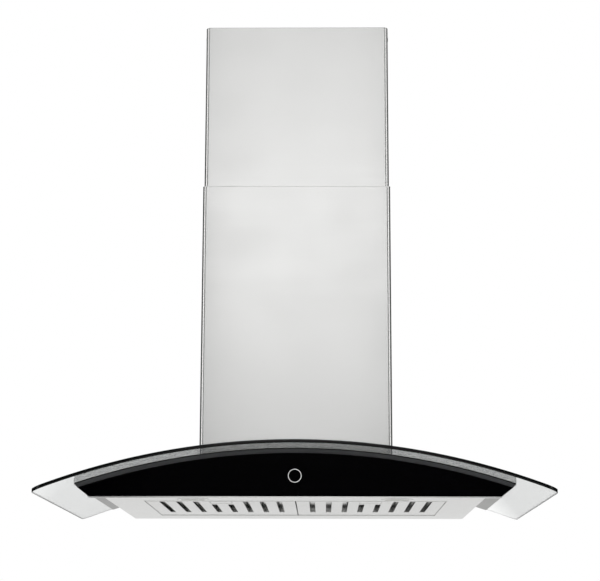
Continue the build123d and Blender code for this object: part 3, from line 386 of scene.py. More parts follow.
def welded(node):
    """Editable copy of a CAD node, with its loose triangles joined."""
    shape = bmesh.new()
    shape.from_mesh(nodes[node].data)
    bmesh.ops.remove_doubles(shape, verts=shape.verts, dist=WELD)
    return shape


def made_from(name, shape, *finishes):
    """Object from an edited shape, with its finishes."""
    mesh = bpy.data.meshes.new(name)
    shape.to_mesh(mesh)
    shape.free()
    for finish in finishes:
        mesh.materials.append(finish)
    return plain_object(name, mesh)


def swept(name, rows, *finishes, caps=(), smooth=False):
    """Object from a section carried along a path, a row of points a step; without end caps it is a loop."""
    count, steps = len(rows[0]), len(rows)
    faces = []
    for step in range(steps - 1 if caps else steps):
        start, after = count * step, count * ((step + 1) % steps)
        for side in range(count):
            other = (side + 1) % count
            faces.append((start + side, start + other, after + other, after + side))
    for base in (0, count * (steps - 1)):
        faces += [[base + corner for corner in cap] for cap in caps]
    shape = bmesh.new()
    points = [shape.verts.new(point) for row in rows for point in row]
    for corners in faces:
        shape.faces.new([points[corner] for corner in corners]).smooth = smooth
    bmesh.ops.recalc_face_normals(shape, faces=shape.faces)
    return made_from(name, shape, *finishes)


def shade_smooth(shape, is_soft):
    """Shades a shape smooth, apart from its edges that aren't soft."""
    for face in shape.faces:
        face.smooth = True
    for edge in shape.edges:
        edge.smooth = is_soft(edge)


def round_edges(shape, edges, width):
    """Rounds edges of a shape and gives the new faces."""
    return bmesh.ops.bevel(
        shape, geom=edges, offset=width, offset_type="OFFSET", segments=2, profile=0.5, affect="EDGES",
        clamp_overlap=True,
    )["faces"]


def eased_copy(node, body, slot, finish, width, narrow=None):
    """Copy of a CAD node with its sharp edges rounded, in place of the node."""
    shape = welded(node)
    bmesh.ops.dissolve_limit(shape, angle_limit=FLAT, verts=shape.verts, edges=shape.edges, delimit=set())
    if narrow:
        narrow(shape)
    sharp = [edge for edge in shape.edges if len(edge.link_faces) == 2 and edge.calc_face_angle() > SHARP]
    rounded = set(round_edges(shape, sharp, width))
    shade_smooth(shape, lambda edge: (
        len(edge.link_faces) == 2 and len({face in rounded for face in edge.link_faces}) == 1
        and edge.calc_face_angle() < SHARP
    ))
    piece = made_from(f"{node}_eased", shape, finish)
    # Flat faces keep their true direction where they run into a bend
    piece.modifiers.new("weighted", "WEIGHTED_NORMAL").keep_sharp = True
    settle(piece)
    fit(piece, body, slot, node)


def fastener_places(node):
    """Seat, outward axis and sizes of every fastener in a CAD node."""
    shape = welded(node)
    loose = dict.fromkeys(reversed(list(shape.verts)))
    places = []
    while loose:
        # What hangs together with one vertex is one fastener
        group = [loose.popitem()[0]]
        for vertex in group:
            for edge in vertex.link_edges:
                other = edge.other_vert(vertex)
                if other in loose:
                    del loose[other]
                    group.append(other)
        faces = {face for vertex in group for face in vertex.link_faces}
        points = np.array([vertex.co for vertex in group])
        normals = np.array([face.normal for face in faces])
        areas = np.array([face.calc_area() for face in faces])[:, None]
        middle = (np.array([face.calc_center_median() for face in faces]) * areas).sum(0) / areas.sum()
        # The axis is the one direction that differs from the other two
        spread, axes = np.linalg.eigh((normals * areas).T @ normals)
        axis = axes[:, 2 if spread[1] - spread[0] < spread[2] - spread[1] else 0]
        along = (points - middle) @ axis
        across = np.linalg.norm(points - middle - along[:, None] * axis, axis=1)
        # The head is the widest part and lies on the outer end
        rim = across > 0.9 * across.max()
        if along[rim].mean() < (along.min() + along.max()) / 2:
            axis, along = -axis, -along
        seat = along[rim].min()
        tip = along < along.min() + 10 * WELD
        places.append({
            "seat": middle + seat * axis, "axis": axis, "radius": across.max(), "height": along.max() - seat,
            "shank": across[tip].max(), "length": seat - along.min(),
        })
    shape.free()
    return places


def new_tree(name, inputs):
    """Empty geometry node tree with its named inputs."""
    tree = bpy.data.node_groups.new(name, "GeometryNodeTree")
    for label, kind in {"Geometry": "Geometry", **inputs, "Finish": "Material"}.items():
        tree.interface.new_socket(label, in_out="INPUT", socket_type=f"NodeSocket{kind}")
    tree.interface.new_socket("Geometry", in_out="OUTPUT", socket_type="NodeSocketGeometry")
    return tree, add_node(tree, "NodeGroupInput").node.outputs


def end_tree(tree, geometry, finish):
    """Realizes the instances, sets the finish and ends the tree."""
    real = add_node(tree, "GeometryNodeRealizeInstances", {"Geometry": geometry})
    dressed = add_node(tree, "GeometryNodeSetMaterial", {"Geometry": real, "Material": finish})
    add_node(tree, "NodeGroupOutput", (dressed,))
    return tree


def run_tree(piece, tree, values):
    """Runs a geometry node tree on a piece and keeps the result as its plain mesh."""
    modifier = piece.modifiers.new(tree.name, "NODES")
    modifier.node_group = tree
    for item in tree.interface.items_tree:
        if item.in_out == "INPUT" and item.name in values:
            modifier[item.identifier] = values[item.name]
    settle(piece)


def turned(tree, radii, heights, sides, hexagons=()):
    """Mesh turned round Z from a profile of radii and heights, one row of vertices each."""
    add = partial(add_node, tree)
    last_row = len(radii) - 1
    grid = {"Size X": 1.0, "Size Y": 1.0, "Vertices X": sides + 1, "Vertices Y": last_row + 1}
    sheet = add("GeometryNodeMeshGrid", grid)
    here = add("GeometryNodeInputPosition")
    spot = add("ShaderNodeSeparateXYZ", (here,)).node.outputs
    angle = add(MATH, (spot[0], -2 * math.pi, -math.pi), operation="MULTIPLY_ADD")
    row = add(MATH, (spot[1], float(last_row), last_row / 2), operation="MULTIPLY_ADD")
    row = add(MATH, (row,), operation="ROUND")
    profile = []
    for values in (radii, heights):
        switch = add("GeometryNodeIndexSwitch", data_type="FLOAT").node
        while len(switch.index_switch_items) < len(values):
            switch.index_switch_items.new()
        feed(tree, switch, {"Index": row, **dict(enumerate(values, 1))})
        profile.append(switch.outputs[0])
    radius, height = profile
    if hexagons:
        # A hexagon pulls its flats in from the circle through its corners
        turn = add(MATH, (angle, math.pi / 3), operation="FLOORED_MODULO")
        turn = add(MATH, (turn, math.pi / 6), operation="SUBTRACT")
        flat = add(MATH, (turn,), operation="COSINE")
        flat = add(MATH, (math.cos(math.pi / 6), flat), operation="DIVIDE")
        share = 0.0
        for first, last, amount in hexagons:
            inside = add(MATH, (row, (first + last) / 2, (last - first + 1) / 2), operation="COMPARE")
            share = add(MATH, (inside, amount, share), operation="MULTIPLY_ADD")
        pulled = add(MIX, {0: share, 2: 1.0, 3: flat}, data_type="FLOAT")
        radius = add(MATH, (radius, pulled), operation="MULTIPLY")
    point = add("ShaderNodeCombineXYZ", (radius, 0.0, height))
    point = add("ShaderNodeVectorRotate", {"Vector": point, "Angle": angle}, rotation_type="Z_AXIS")
    bent = add("GeometryNodeSetPosition", {"Geometry": sheet, "Position": point})
    return add("GeometryNodeMergeByDistance", {"Geometry": bent, "Distance": WELD})


def fastener_tree():
    """Node tree that turns one fastener from its sizes and sets it on every point, along its axis."""
    tree, given = new_tree("turned_fastener", dict.fromkeys((
        "Head Radius", "Shoulder Radius", "Recess Radius", "Shank Radius", "Head Height", "Crown Height",
        "Recess Floor", "Shank Tip", "Head Hexagon", "Recess Hexagon",
    ), "Float"))
    rim, recess, shank = (given[f"{part} Radius"] for part in ("Head", "Recess", "Shank"))
    top, floor, tip = given["Head Height"], given["Recess Floor"], given["Shank Tip"]
    one = turned(
        tree,
        [0.0, recess, recess, given["Shoulder Radius"], rim, rim, shank, shank, 0.0],
        [floor, floor, top, top, given["Crown Height"], 0.0, 0.0, tip, tip],
        sides=24, hexagons=[(0, 2, given["Recess Hexagon"]), (3, 5, given["Head Hexagon"])],
    )
    axis = add_node(tree, "GeometryNodeInputNamedAttribute", {"Name": "axis"}, "Attribute", data_type="FLOAT_VECTOR")
    facing = add_node(tree, "FunctionNodeAlignRotationToVector", {"Vector": axis}, axis="Z")
    spread = add_node(tree, "GeometryNodeInstanceOnPoints", {
        "Points": given["Geometry"], "Instance": one, "Rotation": facing,
    })
    return end_tree(tree, spread, given["Finish"])


WHEEL_RINGS = ("Near Ring", "Far Ring", "Disc", "Hub")
RING_SIZES = ("Outside", "Hole", "Low", "High")


def wheel_tree():
    """Node tree of a blower wheel: curved blades between end rings, on a middle disc with a hub, along Y."""
    tree, given = new_tree("blower_wheel", {
        "Blades": "Int", "Blade Pitch": "Float", "Blade Size": "Vector", "Blade Place": "Vector",
        "Blade Lean": "Float", "Blade Bow": "Float", "Middle": "Vector",
        **{f"{ring} {size}": "Float" for ring in WHEEL_RINGS for size in RING_SIZES},
    })
    add = partial(add_node, tree)
    rings = []
    for ring in WHEEL_RINGS:
        outside, hole, low, high = (given[f"{ring} {size}"] for size in RING_SIZES)
        rings.append(turned(tree, [outside, outside, hole, hole, outside], [low, high, high, low, low], sides=72))
    box = add("GeometryNodeMeshCube", {"Size": (1.0,) * 3, "Vertices X": 7, "Vertices Y": 2, "Vertices Z": 2})
    here = add("GeometryNodeInputPosition")
    depth = add("ShaderNodeSeparateXYZ", (here,))
    # Across its depth a blade leans evenly and bows most in the middle
    bow = add(MATH, (depth, depth), operation="MULTIPLY")
    bow = add(MATH, (bow, -4.0, 1.0), operation="MULTIPLY_ADD")
    lean = add(MATH, (given["Blade Lean"], depth), operation="MULTIPLY")
    aside = add(MATH, (given["Blade Bow"], bow, lean), operation="MULTIPLY_ADD")
    aside = add("ShaderNodeCombineXYZ", {1: aside})
    point = add(VECTOR_MATH, (here, given["Blade Size"], given["Blade Place"]), operation="MULTIPLY_ADD")
    point = add(VECTOR_MATH, (point, aside), operation="ADD")
    blade = add("GeometryNodeSetPosition", {"Geometry": box, "Position": point})
    index = add("GeometryNodeInputIndex")
    turn = add(MATH, (index, given["Blade Pitch"]), operation="MULTIPLY")
    turn = add("ShaderNodeCombineXYZ", {2: turn})
    blades = add("GeometryNodeInstanceOnPoints", {
        "Points": add("GeometryNodePoints", {"Count": given["Blades"]}), "Instance": blade,
        "Rotation": add("FunctionNodeEulerToRotation", (turn,)),
    })
    joined = add("GeometryNodeJoinGeometry")
    for part in (blades, *rings):
        feed(tree, joined.node, {0: part})
    laid = add("GeometryNodeTransform", {
        "Geometry": joined, "Translation": given["Middle"], "Rotation": (-math.pi / 2, 0.0, 0.0),
    })
    return end_tree(tree, laid, given["Finish"])


def row_tree():
    """Node tree that repeats a piece along X at an even pitch."""
    tree, given = new_tree("even_row", {"Count": "Int", "Pitch": "Vector"})
    line = add_node(tree, "GeometryNodeMeshLine", {"Count": given["Count"], "Offset": given["Pitch"]}, mode="OFFSET")
    spread = add_node(tree, "GeometryNodeInstanceOnPoints", {"Points": line, "Instance": given["Geometry"]})
    return end_tree(tree, spread, given["Finish"])


def turn_fasteners(
    name, node, finish, chamfer, recess=0.5, recess_depth=0.6, head_hexagon=0.0, recess_hexagon=0.0, head_share=1.0,
    body="hood", slot="fastener_steel",
):
    """Puts turned fasteners into the seats of plain ones; shares are of the plain head's sizes."""
    places = fastener_places(node)
    mesh = bpy.data.meshes.new(name)
    mesh.from_pydata([place["seat"] for place in places], [], [])
    axes = mesh.attributes.new("axis", "FLOAT_VECTOR", "POINT")
    axes.data.foreach_set("vector", np.array([place["axis"] for place in places], np.float32).ravel())
    radius, height, shank = (float(places[0][size]) for size in ("radius", "height", "shank"))
    height *= head_share
    piece = plain_object(name, mesh)
    run_tree(piece, bpy.data.node_groups.get("turned_fastener") or fastener_tree(), {
        "Head Radius": radius, "Shoulder Radius": radius - chamfer * height, "Recess Radius": recess * radius,
        "Shank Radius": min(shank, 0.9 * radius), "Head Height": height, "Crown Height": (1.0 - chamfer) * height,
        "Recess Floor": (1.0 - recess_depth) * height,
        "Shank Tip": -float(min(place["length"] for place in places)),
        "Head Hexagon": head_hexagon, "Recess Hexagon": recess_hexagon, "Finish": finish,
    })
    fit(piece, body, slot, node)


def circle_outline(x, y, radius, steps):
    """Plan points of a circle."""
    turns = [2 * math.pi * step / steps for step in range(steps)]
    return [(x + radius * math.cos(turn), y + radius * math.sin(turn)) for turn in turns]


def rounded_outline(half_x, half_y, corner, steps):
    """Plan points of a rectangle with round corners, anticlockwise."""
    turns = circle_outline(0.0, 0.0, corner, 4 * steps)
    points = []
    for quarter, (sx, sy) in enumerate(((1, 1), (-1, 1), (-1, -1), (1, -1))):
        for step in range(quarter * steps, (quarter + 1) * steps + 1):
            x, y = turns[step % len(turns)]
            points.append((sx * (half_x - corner) + x, sy * (half_y - corner) + y))
    return points


def rolled_edge(name, sizes, finish):
    """Narrow rolled bead along the top edge of the lower cover."""
    low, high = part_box("lower_chimney_front")
    bead = sizes.rolled_bead
    section = circle_outline(0.0, high.z - bead, bead, steps=8)
    outline = rounded_outline(high.x - bead / 2, -low.y - bead / 2, sizes.cover_corner, steps=8)
    outline = [Vector(point) for point in outline]
    rows = []
    for index, spot in enumerate(outline):
        along = (outline[(index + 1) % len(outline)] - outline[index - 1]).normalized()
        out = Vector((along.y, -along.x))
        rows.append([(*(spot + out * reach), z) for reach, z in section])
    return swept(name, rows, finish, smooth=True)


class HOOD_OT_chimney(bpy.types.Operator):
    """Brushed steel covers and the rivets of their seams"""

    bl_idname = "hood.chimney"
    bl_label = "Chimney Covers"

    def execute(self, context):
        sizes, tones = settings(context)
        steel = brushed_steel("brushed_stainless_chimney", tones.chimney_steel, sizes, rough=0.24, upright=True)
        fit(rolled_edge("lower_cover_rolled_edge", sizes, steel), "lower_chimney", "chimney_steel")
        for part, body in (("upper", "hood"), ("lower", "lower_chimney")):
            for half in ("front", "rear"):
                eased_copy(f"{part}_chimney_{half}", body, "chimney_steel", steel, sizes.sheet_edge)
            turn_fasteners(
                f"{part}_cover_rivets", f"{part}_chimney_rivets", steel,
                chamfer=0.6, recess=0.28, recess_depth=0.7, body=body, slot="chimney_steel",
            )
        return {"FINISHED"}


def bent_glass(name, sizes, face_finish, edge_finish):
    """Bent sheet with rounded corners, a middle opening, bolt holes and a polished arris all round."""
    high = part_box("canopy_glass")[1]
    outer_bend = sizes.glass_bend + sizes.glass_thickness
    axis_z = high.z - outer_bend
    outlines = [
        rounded_outline(high.x, high.y, sizes.glass_corner, steps=16),
        rounded_outline(sizes.air_opening_x, sizes.air_opening_y, sizes.air_opening_corner, steps=10),
    ]
    for x in (-sizes.clamp_hole_x, sizes.clamp_hole_x):
        for y in (-sizes.clamp_hole_y, sizes.clamp_hole_y):
            outlines.append(circle_outline(x, y, sizes.clamp_hole_radius, steps=24))
    sheet = bmesh.new()
    edges = []
    for outline in outlines:
        ring = [sheet.verts.new((x, y, 0.0)) for x, y in outline]
        edges += [sheet.edges.new((ring[i - 1], ring[i])) for i in range(len(ring))]
    bmesh.ops.triangle_fill(sheet, use_beauty=True, use_dissolve=False, edges=edges)
    cuts = int(2 * high.x / sizes.glass_step)
    for index in range(1, cuts):
        x = -high.x + 2 * high.x * index / cuts
        everything = sheet.verts[:] + sheet.edges[:] + sheet.faces[:]
        bmesh.ops.bisect_plane(sheet, geom=everything, dist=WELD, plane_co=(x, 0, 0), plane_no=(1, 0, 0))
    # The sheet is doubled, and each skin takes its own bend
    upper = set(sheet.verts)
    bmesh.ops.extrude_face_region(sheet, geom=sheet.faces[:], use_keep_orig=True)
    for vertex in sheet.verts:
        bend = outer_bend if vertex in upper else sizes.glass_bend
        vertex.co.z = axis_z + math.sqrt(bend**2 - vertex.co.x**2)
    bmesh.ops.recalc_face_normals(sheet, faces=sheet.faces)

    def lies_flat(face):
        """Whether a face follows the bend; those of the arris lean away by more."""
        middle = face.calc_center_median()
        return abs(face.normal.dot(Vector((middle.x, 0, middle.z - axis_z)).normalized())) > 0.97

    rims = [edge for edge in sheet.edges if len({lies_flat(face) for face in edge.link_faces}) == 2]
    round_edges(sheet, rims, sizes.glass_arris)
    for face in sheet.faces:
        face.material_index = 0 if lies_flat(face) else 1
    shade_smooth(sheet, lambda edge: len({face.material_index for face in edge.link_faces}) == 1)
    return made_from(name, sheet, face_finish, edge_finish)


class HOOD_OT_canopy(bpy.types.Operator):
    """Bent canopy glass with its gaskets, clamp bolts and nuts"""

    bl_idname = "hood.canopy"
    bl_label = "Canopy"

    def execute(self, context):
        sizes, tones = settings(context)
        clear = clear_glass("clear_tempered_glass", tones.canopy_glass)
        edge = polished_edge("polished_glass_edge", tones.glass_edge)
        fit(bent_glass("canopy_sheet", sizes, clear, edge), "hood", "canopy_glass", "canopy_glass")
        rubber = moulded_plastic(
            "soft_black_rubber", tones.rubber, sizes.plastic_grit, rough=0.75, bump=0.3, shine=0.2
        )
        dress(rubber, "glass_gasket_upper", "glass_gasket_lower")
        zinc = plated_steel("bright_zinc_fastener", tones.fasteners, rough=0.28)
        turn_fasteners("canopy_clamp_bolts", "clamp_bolts", zinc, chamfer=0.15, recess_depth=0.05, head_hexagon=1.0)
        turn_fasteners(
            "canopy_clamp_nuts", "clamp_nuts", zinc, chamfer=0.12, recess=0.56, recess_depth=0.2, head_hexagon=1.0
        )
        return {"FINISHED"}


def printed_ring(name, sizes, finish):
    """Thin printed ring in the place of the touch key."""
    low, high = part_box("touch_ring")
    middle = (low + high) / 2
    outer = (high.x - low.x) / 2 - sizes.ring_inset
    inner = outer - sizes.ring_line
    section = [(inner, low.y), (outer, low.y), (outer, high.y), (inner, high.y)]
    rows = [
        [(middle.x + radius * c, y, middle.z + radius * s) for radius, y in section]
        for c, s in circle_outline(0.0, 0.0, 1.0, steps=64)
    ]
    return swept(name, rows, finish)


def trim_seal(name, sizes, finish):
    """Black seal in the gap between trim band and glass, with a lip over the band's top edge."""
    low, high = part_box("canopy_trim")
    axis_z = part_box("canopy_glass")[1].z - sizes.glass_bend - sizes.glass_thickness
    joint = high.z - axis_z
    lip = joint - sizes.seal_lip
    roof = sizes.glass_bend - sizes.seal_gap
    face = low.y - sizes.seal_proud
    section = [(lip, face), (lip, low.y), (joint, low.y), (joint, high.y), (roof, high.y), (roof, face)]
    reach = math.asin(high.x / sizes.glass_bend)
    rows = [
        [(radius * math.sin(turn), y, axis_z + radius * math.cos(turn)) for radius, y in section]
        for turn in np.linspace(-reach, reach, 97)
    ]
    return swept(name, rows, finish, caps=[range(len(section))])


class HOOD_OT_fascia(bpy.types.Operator):
    """Black glass fascia, touch ring and trim band"""

    bl_idname = "hood.fascia"
    bl_label = "Front Fascia"

    def execute(self, context):
        sizes, tones = settings(context)
        grit = sizes.plastic_grit
        black = black_printed_glass("black_printed_glass", tones.black_glass)
        eased_copy("front_fascia", "hood", "black_glass", black, sizes.sheet_edge)
        dress(moulded_plastic("satin_trim_band", tones.trim, grit, rough=0.45, bump=0.05), "canopy_trim")
        rubber = bpy.data.materials["soft_black_rubber"]
        fit(trim_seal("trim_glass_seal", sizes, rubber), "hood", "gasket_rubber")
        # A faint painted glow lifts the printed ring above what the lamps give it
        lit = moulded_plastic("light_ring_print", tones.touch_ring, grit, rough=0.4, bump=0.05, glow=0.4)
        fit(printed_ring("touch_key_ring", sizes, lit), "hood", "ring_print", "touch_ring")
        return {"FINISHED"}


def close_side_gaps(shape):
    """Brings the sides of the pan's filter opening close to the filters."""
    sizes = bpy.context.scene.hood_sizes
    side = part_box("filter_tray_right")[1].x
    for vertex in shape.verts:
        if side < abs(vertex.co.x) < side + sizes.pan_clearance:
            vertex.co.x = math.copysign(side + sizes.filter_side_gap, vertex.co.x)


class HOOD_OT_body(bpy.types.Operator):
    """Brushed steel body with its pan, support plate, lamps and screws"""

    bl_idname = "hood.body"
    bl_label = "Body and Lamps"

    def execute(self, context):
        sizes, tones = settings(context)
        steel = brushed_steel("brushed_stainless_body", tones.body_steel, sizes, rough=0.22)
        eased_copy("bottom_pan", "hood", "body_steel", steel, sizes.pan_edge, close_side_gaps)
        for node in ("body_shell", "fascia_carrier", "lamp_housing_left", "lamp_housing_right"):
            eased_copy(node, "hood", "body_steel", steel, sizes.sheet_edge)
        dull = brushed_steel("dull_stainless_support", tones.support_steel, sizes, rough=0.32)
        eased_copy("support_plate", "hood", "body_steel", dull, sizes.sheet_edge)
        lens = frosted_lens("frosted_acrylic_lens", tones.lens, sizes.lens_prism)
        dress(lens, "lamp_lens_left", "lamp_lens_right")
        zinc = bpy.data.materials["bright_zinc_fastener"]
        turn_fasteners("pan_and_carrier_screws", "body_screws", zinc, chamfer=0.35, recess_hexagon=1.0)
        return {"FINISHED"}


def baffle_row(side, sizes, finish):
    """Row of bent channels behind the slots of one filter."""
    node = f"filter_baffles_{side}"
    low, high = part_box(node)
    pitch = (high.x - low.x - sizes.baffle_width) / (sizes.baffle_count - 1)
    half, sheet, bend = sizes.baffle_width / 2, sizes.baffle_sheet, sizes.baffle_bend
    outside, inside = [(half, low.z)], [(half - sheet, low.z)]
    for turn in np.linspace(0.0, math.pi / 2, 5):
        c, s = math.cos(turn), math.sin(turn)
        outside.append((half - bend + bend * c, high.z - bend + bend * s))
        inside.append((half - bend + (bend - sheet) * c, high.z - bend + (bend - sheet) * s))
    section = outside + [(-x, z) for x, z in reversed(outside)]
    section += [(-x, z) for x, z in inside] + inside[::-1]
    last = len(section) - 1
    rows = [[(low.x + half + x, y, z) for x, z in section] for y in (low.y, high.y)]
    # Each end is closed strip by strip between the outer and the inner skin
    caps = [(i, i + 1, last - 1 - i, last - i) for i in range(last // 2)]
    channel = swept(f"filter_baffle_row_{side}", rows, caps=caps)
    run_tree(channel, bpy.data.node_groups.get("even_row") or row_tree(), {
        "Count": sizes.baffle_count, "Pitch": (pitch, 0.0, 0.0), "Finish": finish,
    })
    fit(channel, f"filter_{side}", "filter_steel", node)


def latch_coil(side, finish):
    """Latch spring: a smooth-shaded copy of its CAD node, in its place."""
    node, joint = f"latch_spring_{side}", f"latch_{side}_pull"
    shape = welded(node)
    shade_smooth(shape, lambda edge: edge.calc_face_angle(0.0) < SHARP)
    coil = made_from(f"latch_coil_{side}", shape, finish)
    fit(coil, f"filter_{side}", "spring_steel", node)
    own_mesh(coil)


class HOOD_OT_filters(bpy.types.Operator):
    """Slotted filters with their baffles, latches and springs"""

    bl_idname = "hood.filters"
    bl_label = "Filters"

    def execute(self, context):
        sizes, tones = settings(context)
        steel = brushed_steel("satin_stainless_filter", tones.filter_steel, sizes, rough=0.25)
        wire = plated_steel("spring_wire", tones.fasteners, rough=0.25)
        for side in ("left", "right"):
            eased_copy(f"filter_tray_{side}", f"filter_{side}", "filter_steel", steel, sizes.sheet_edge)
            eased_copy(f"filter_latch_{side}", f"latch_{side}", "filter_steel", steel, sizes.sheet_edge)
            baffle_row(side, sizes, steel)
            latch_coil(side, wire)
        return {"FINISHED"}


class HOOD_OT_frame(bpy.types.Operator):
    """Zinc-plated ceiling plate, posts and screws"""

    bl_idname = "hood.frame"
    bl_label = "Hanging Frame"

    def execute(self, context):
        zinc = plated_steel("zinc_plated_steel", settings(context)[1].zinc_plate, rough=0.38)
        dress(zinc, "ceiling_plate", *(name for name in nodes if "_post_" in name))
        turn_fasteners(
            "hanging_frame_screws", "frame_screws", bpy.data.materials["bright_zinc_fastener"],
            chamfer=0.5, recess_hexagon=1.0, head_share=0.45,
        )
        return {"FINISHED"}


def blower_wheel(name, sizes, finish):
    """Wheel in the place of the plain impeller."""
    low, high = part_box("impeller")
    radius, half = (high.z - low.z) / 2, (high.y - low.y) / 2
    inner = radius - sizes.blade_depth
    rings = (
        (radius, inner, -half, sizes.wheel_ring - half),
        (radius, inner, half - sizes.wheel_ring, half),
        (radius, sizes.hub_bore, -sizes.wheel_disc / 2, sizes.wheel_disc / 2),
        (sizes.hub_radius, sizes.hub_bore, -sizes.hub_front, sizes.hub_rear),
    )
    wheel = plain_object(name, bpy.data.meshes.new(name))
    run_tree(wheel, wheel_tree(), {
        **{f"{ring} {size}": value for ring, row in zip(WHEEL_RINGS, rings) for size, value in zip(RING_SIZES, row)},
        "Blades": sizes.blade_count, "Blade Pitch": 2 * math.pi / sizes.blade_count,
        # Blades end a little inside the rim of the rings, halfway through their thickness
        "Blade Size": (0.9 * sizes.blade_depth, sizes.blade_sheet, 2 * half - sizes.wheel_ring),
        "Blade Place": (inner + sizes.blade_depth / 2, 0.0, 0.0),
        "Blade Lean": sizes.blade_lean, "Blade Bow": sizes.blade_bow, "Middle": (low + high) / 2, "Finish": finish,
    })
    return wheel


class HOOD_OT_blower(bpy.types.Operator):
    """Blower box, scroll, impeller, motor, collar, damper and electronics"""

    bl_idname = "hood.blower"
    bl_label = "Blower"

    def execute(self, context):
        sizes, tones = settings(context)
        grit = sizes.plastic_grit
        galvanised = galvanised_sheet("galvanised_sheet", tones.galvanised_sheet, sizes.spangle)
        dress(galvanised, "blower_box", "supply_box", "supply_lid", "damper_flap_left", "damper_flap_right")
        moulded = moulded_plastic("moulded_black_plastic", tones.moulded_plastic, grit, rough=0.5, bump=0.25)
        dress(moulded, "scroll_front", "scroll_rear", "duct_collar", "control_housing", "cable_gland")
        wheel_finish = moulded_plastic("moulded_wheel_plastic", tones.wheel_plastic, grit, rough=0.42, bump=0.1)
        fit(blower_wheel("blower_wheel", sizes, wheel_finish), "impeller", "impeller_plastic", "impeller")
        # Enamel dries with a slight orange peel, a few millimetres across
        enamel = moulded_plastic("black_motor_enamel", tones.motor_enamel, 4 * grit, rough=0.3, bump=0.15)
        dress(enamel, "motor")
        can = moulded_plastic("white_can_plastic", tones.capacitor_can, grit, rough=0.35, bump=0.1)
        dress(can, "capacitor")
        dress(circuit_board("green_circuit_board", tones.circuit_board), "touch_board", "supply_board")
        dress(bpy.data.materials["zinc_plated_steel"], "motor_bracket")
        zinc = bpy.data.materials["bright_zinc_fastener"]
        dress(zinc, "damper_pin", "motor_shaft")
        turn_fasteners("blower_fixing_screws", "blower_screws", zinc, chamfer=0.3, recess_hexagon=1.0)
        return {"FINISHED"}


CAMERA_PLACE = (0.0495, -3.1822, -1.1595)
CAMERA_YAW = -0.014
CAMERA_PITCH = 0.2082
CAMERA_ROLL = 0.0024
CAMERA_LENS = 100.6
CAMERA_SENSOR = 36.0

# Name, place, watts, width and height of each soft lamp, and the point that they all face
LAMPS = (
    ("softbox_front", (-0.05, -3.6, 0.45), 2.7, 0.82, 0.7),
    ("strip_left", (-2.37, -1.79, 0.0), 3.6, 0.4, 1.6),
    ("strip_right", (2.37, -1.79, 0.0), 3.6, 0.4, 1.6),
    ("softbox_top", (0.0, 0.3, 2.2), 28.0, 3.3, 3.3),
)
LAMP_AIM = Vector((0.0, 0.0, -0.6))


def studio_world():
    """White surround for the camera and the glass, and a studio with soft dark gaps for reflections."""
    world = bpy.data.worlds.new("studio")
    world.use_nodes = True
    tree = world.node_tree
    tree.nodes.clear()
    add = partial(add_node, tree)

    aim = add("ShaderNodeTexCoord", out="Generated")
    right, back, up = add("ShaderNodeSeparateXYZ", (aim,)).node.outputs
    # Light and dark strips go by turn, from front (0) to back (1), and by rise, from nadir (0) to zenith (1)
    aside = add(MATH, (right,), operation="ABSOLUTE")
    front = add(MATH, (back, -1.0), operation="MULTIPLY")
    turn = add(MATH, (aside, front), operation="ARCTAN2")
    turn = add(MATH, (turn, math.pi), operation="DIVIDE")
    rise = add(MATH, (up, 0.5, 0.5), operation="MULTIPLY_ADD")
    panels = add(RAMP, (turn,), stops=[
        (0.04, 0.0), (0.185, 0.0), (0.195, 1.0), (0.385, 1.0), (0.395, 0.0), (0.44, 0.0), (0.50, 0.22),
        (0.56, 0.0), (0.88, 0.0), (0.94, 1.0),
    ])
    band = add(RAMP, (rise,), stops=[(0.42, 0.0), (0.44, 1.0), (0.70, 1.0), (0.75, 0.0)])
    sides = add(MIX, {0: band, 6: WHITE, 7: panels}, 2, data_type="RGBA")
    # Straight ahead the room is pale but for a dark strip above the horizon
    ahead = add(RAMP, (rise,), stops=[
        (0.44, 0.8), (0.520, 0.7), (0.535, 0.01), (0.561, 0.01), (0.570, 0.9), (0.62, 1.0), (0.68, 0.95),
        (0.82, 0.6), (1.0, 0.4),
    ])
    in_front = add(RAMP, (turn,), stops=[(0.03, 1.0), (0.04, 0.0)])
    studio = add(MIX, {0: in_front, 6: sides, 7: ahead}, 2, data_type="RGBA")
    path = add("ShaderNodeLightPath").node.outputs
    seen = add(MATH, (path["Is Camera Ray"], path["Is Transmission Ray"]), operation="MAXIMUM")
    soft, mirrored, white = (
        add("ShaderNodeBackground", {"Color": shade, "Strength": strength})
        for shade, strength in ((WHITE, 0.65), (studio, 1.0), (WHITE, 1.0))
    )
    shiny = add("ShaderNodeMixShader", (path["Is Glossy Ray"], soft, mirrored))
    shown = add("ShaderNodeMixShader", (seen, shiny, white))
    add("ShaderNodeOutputWorld", (shown,))
    bpy.context.scene.world = world


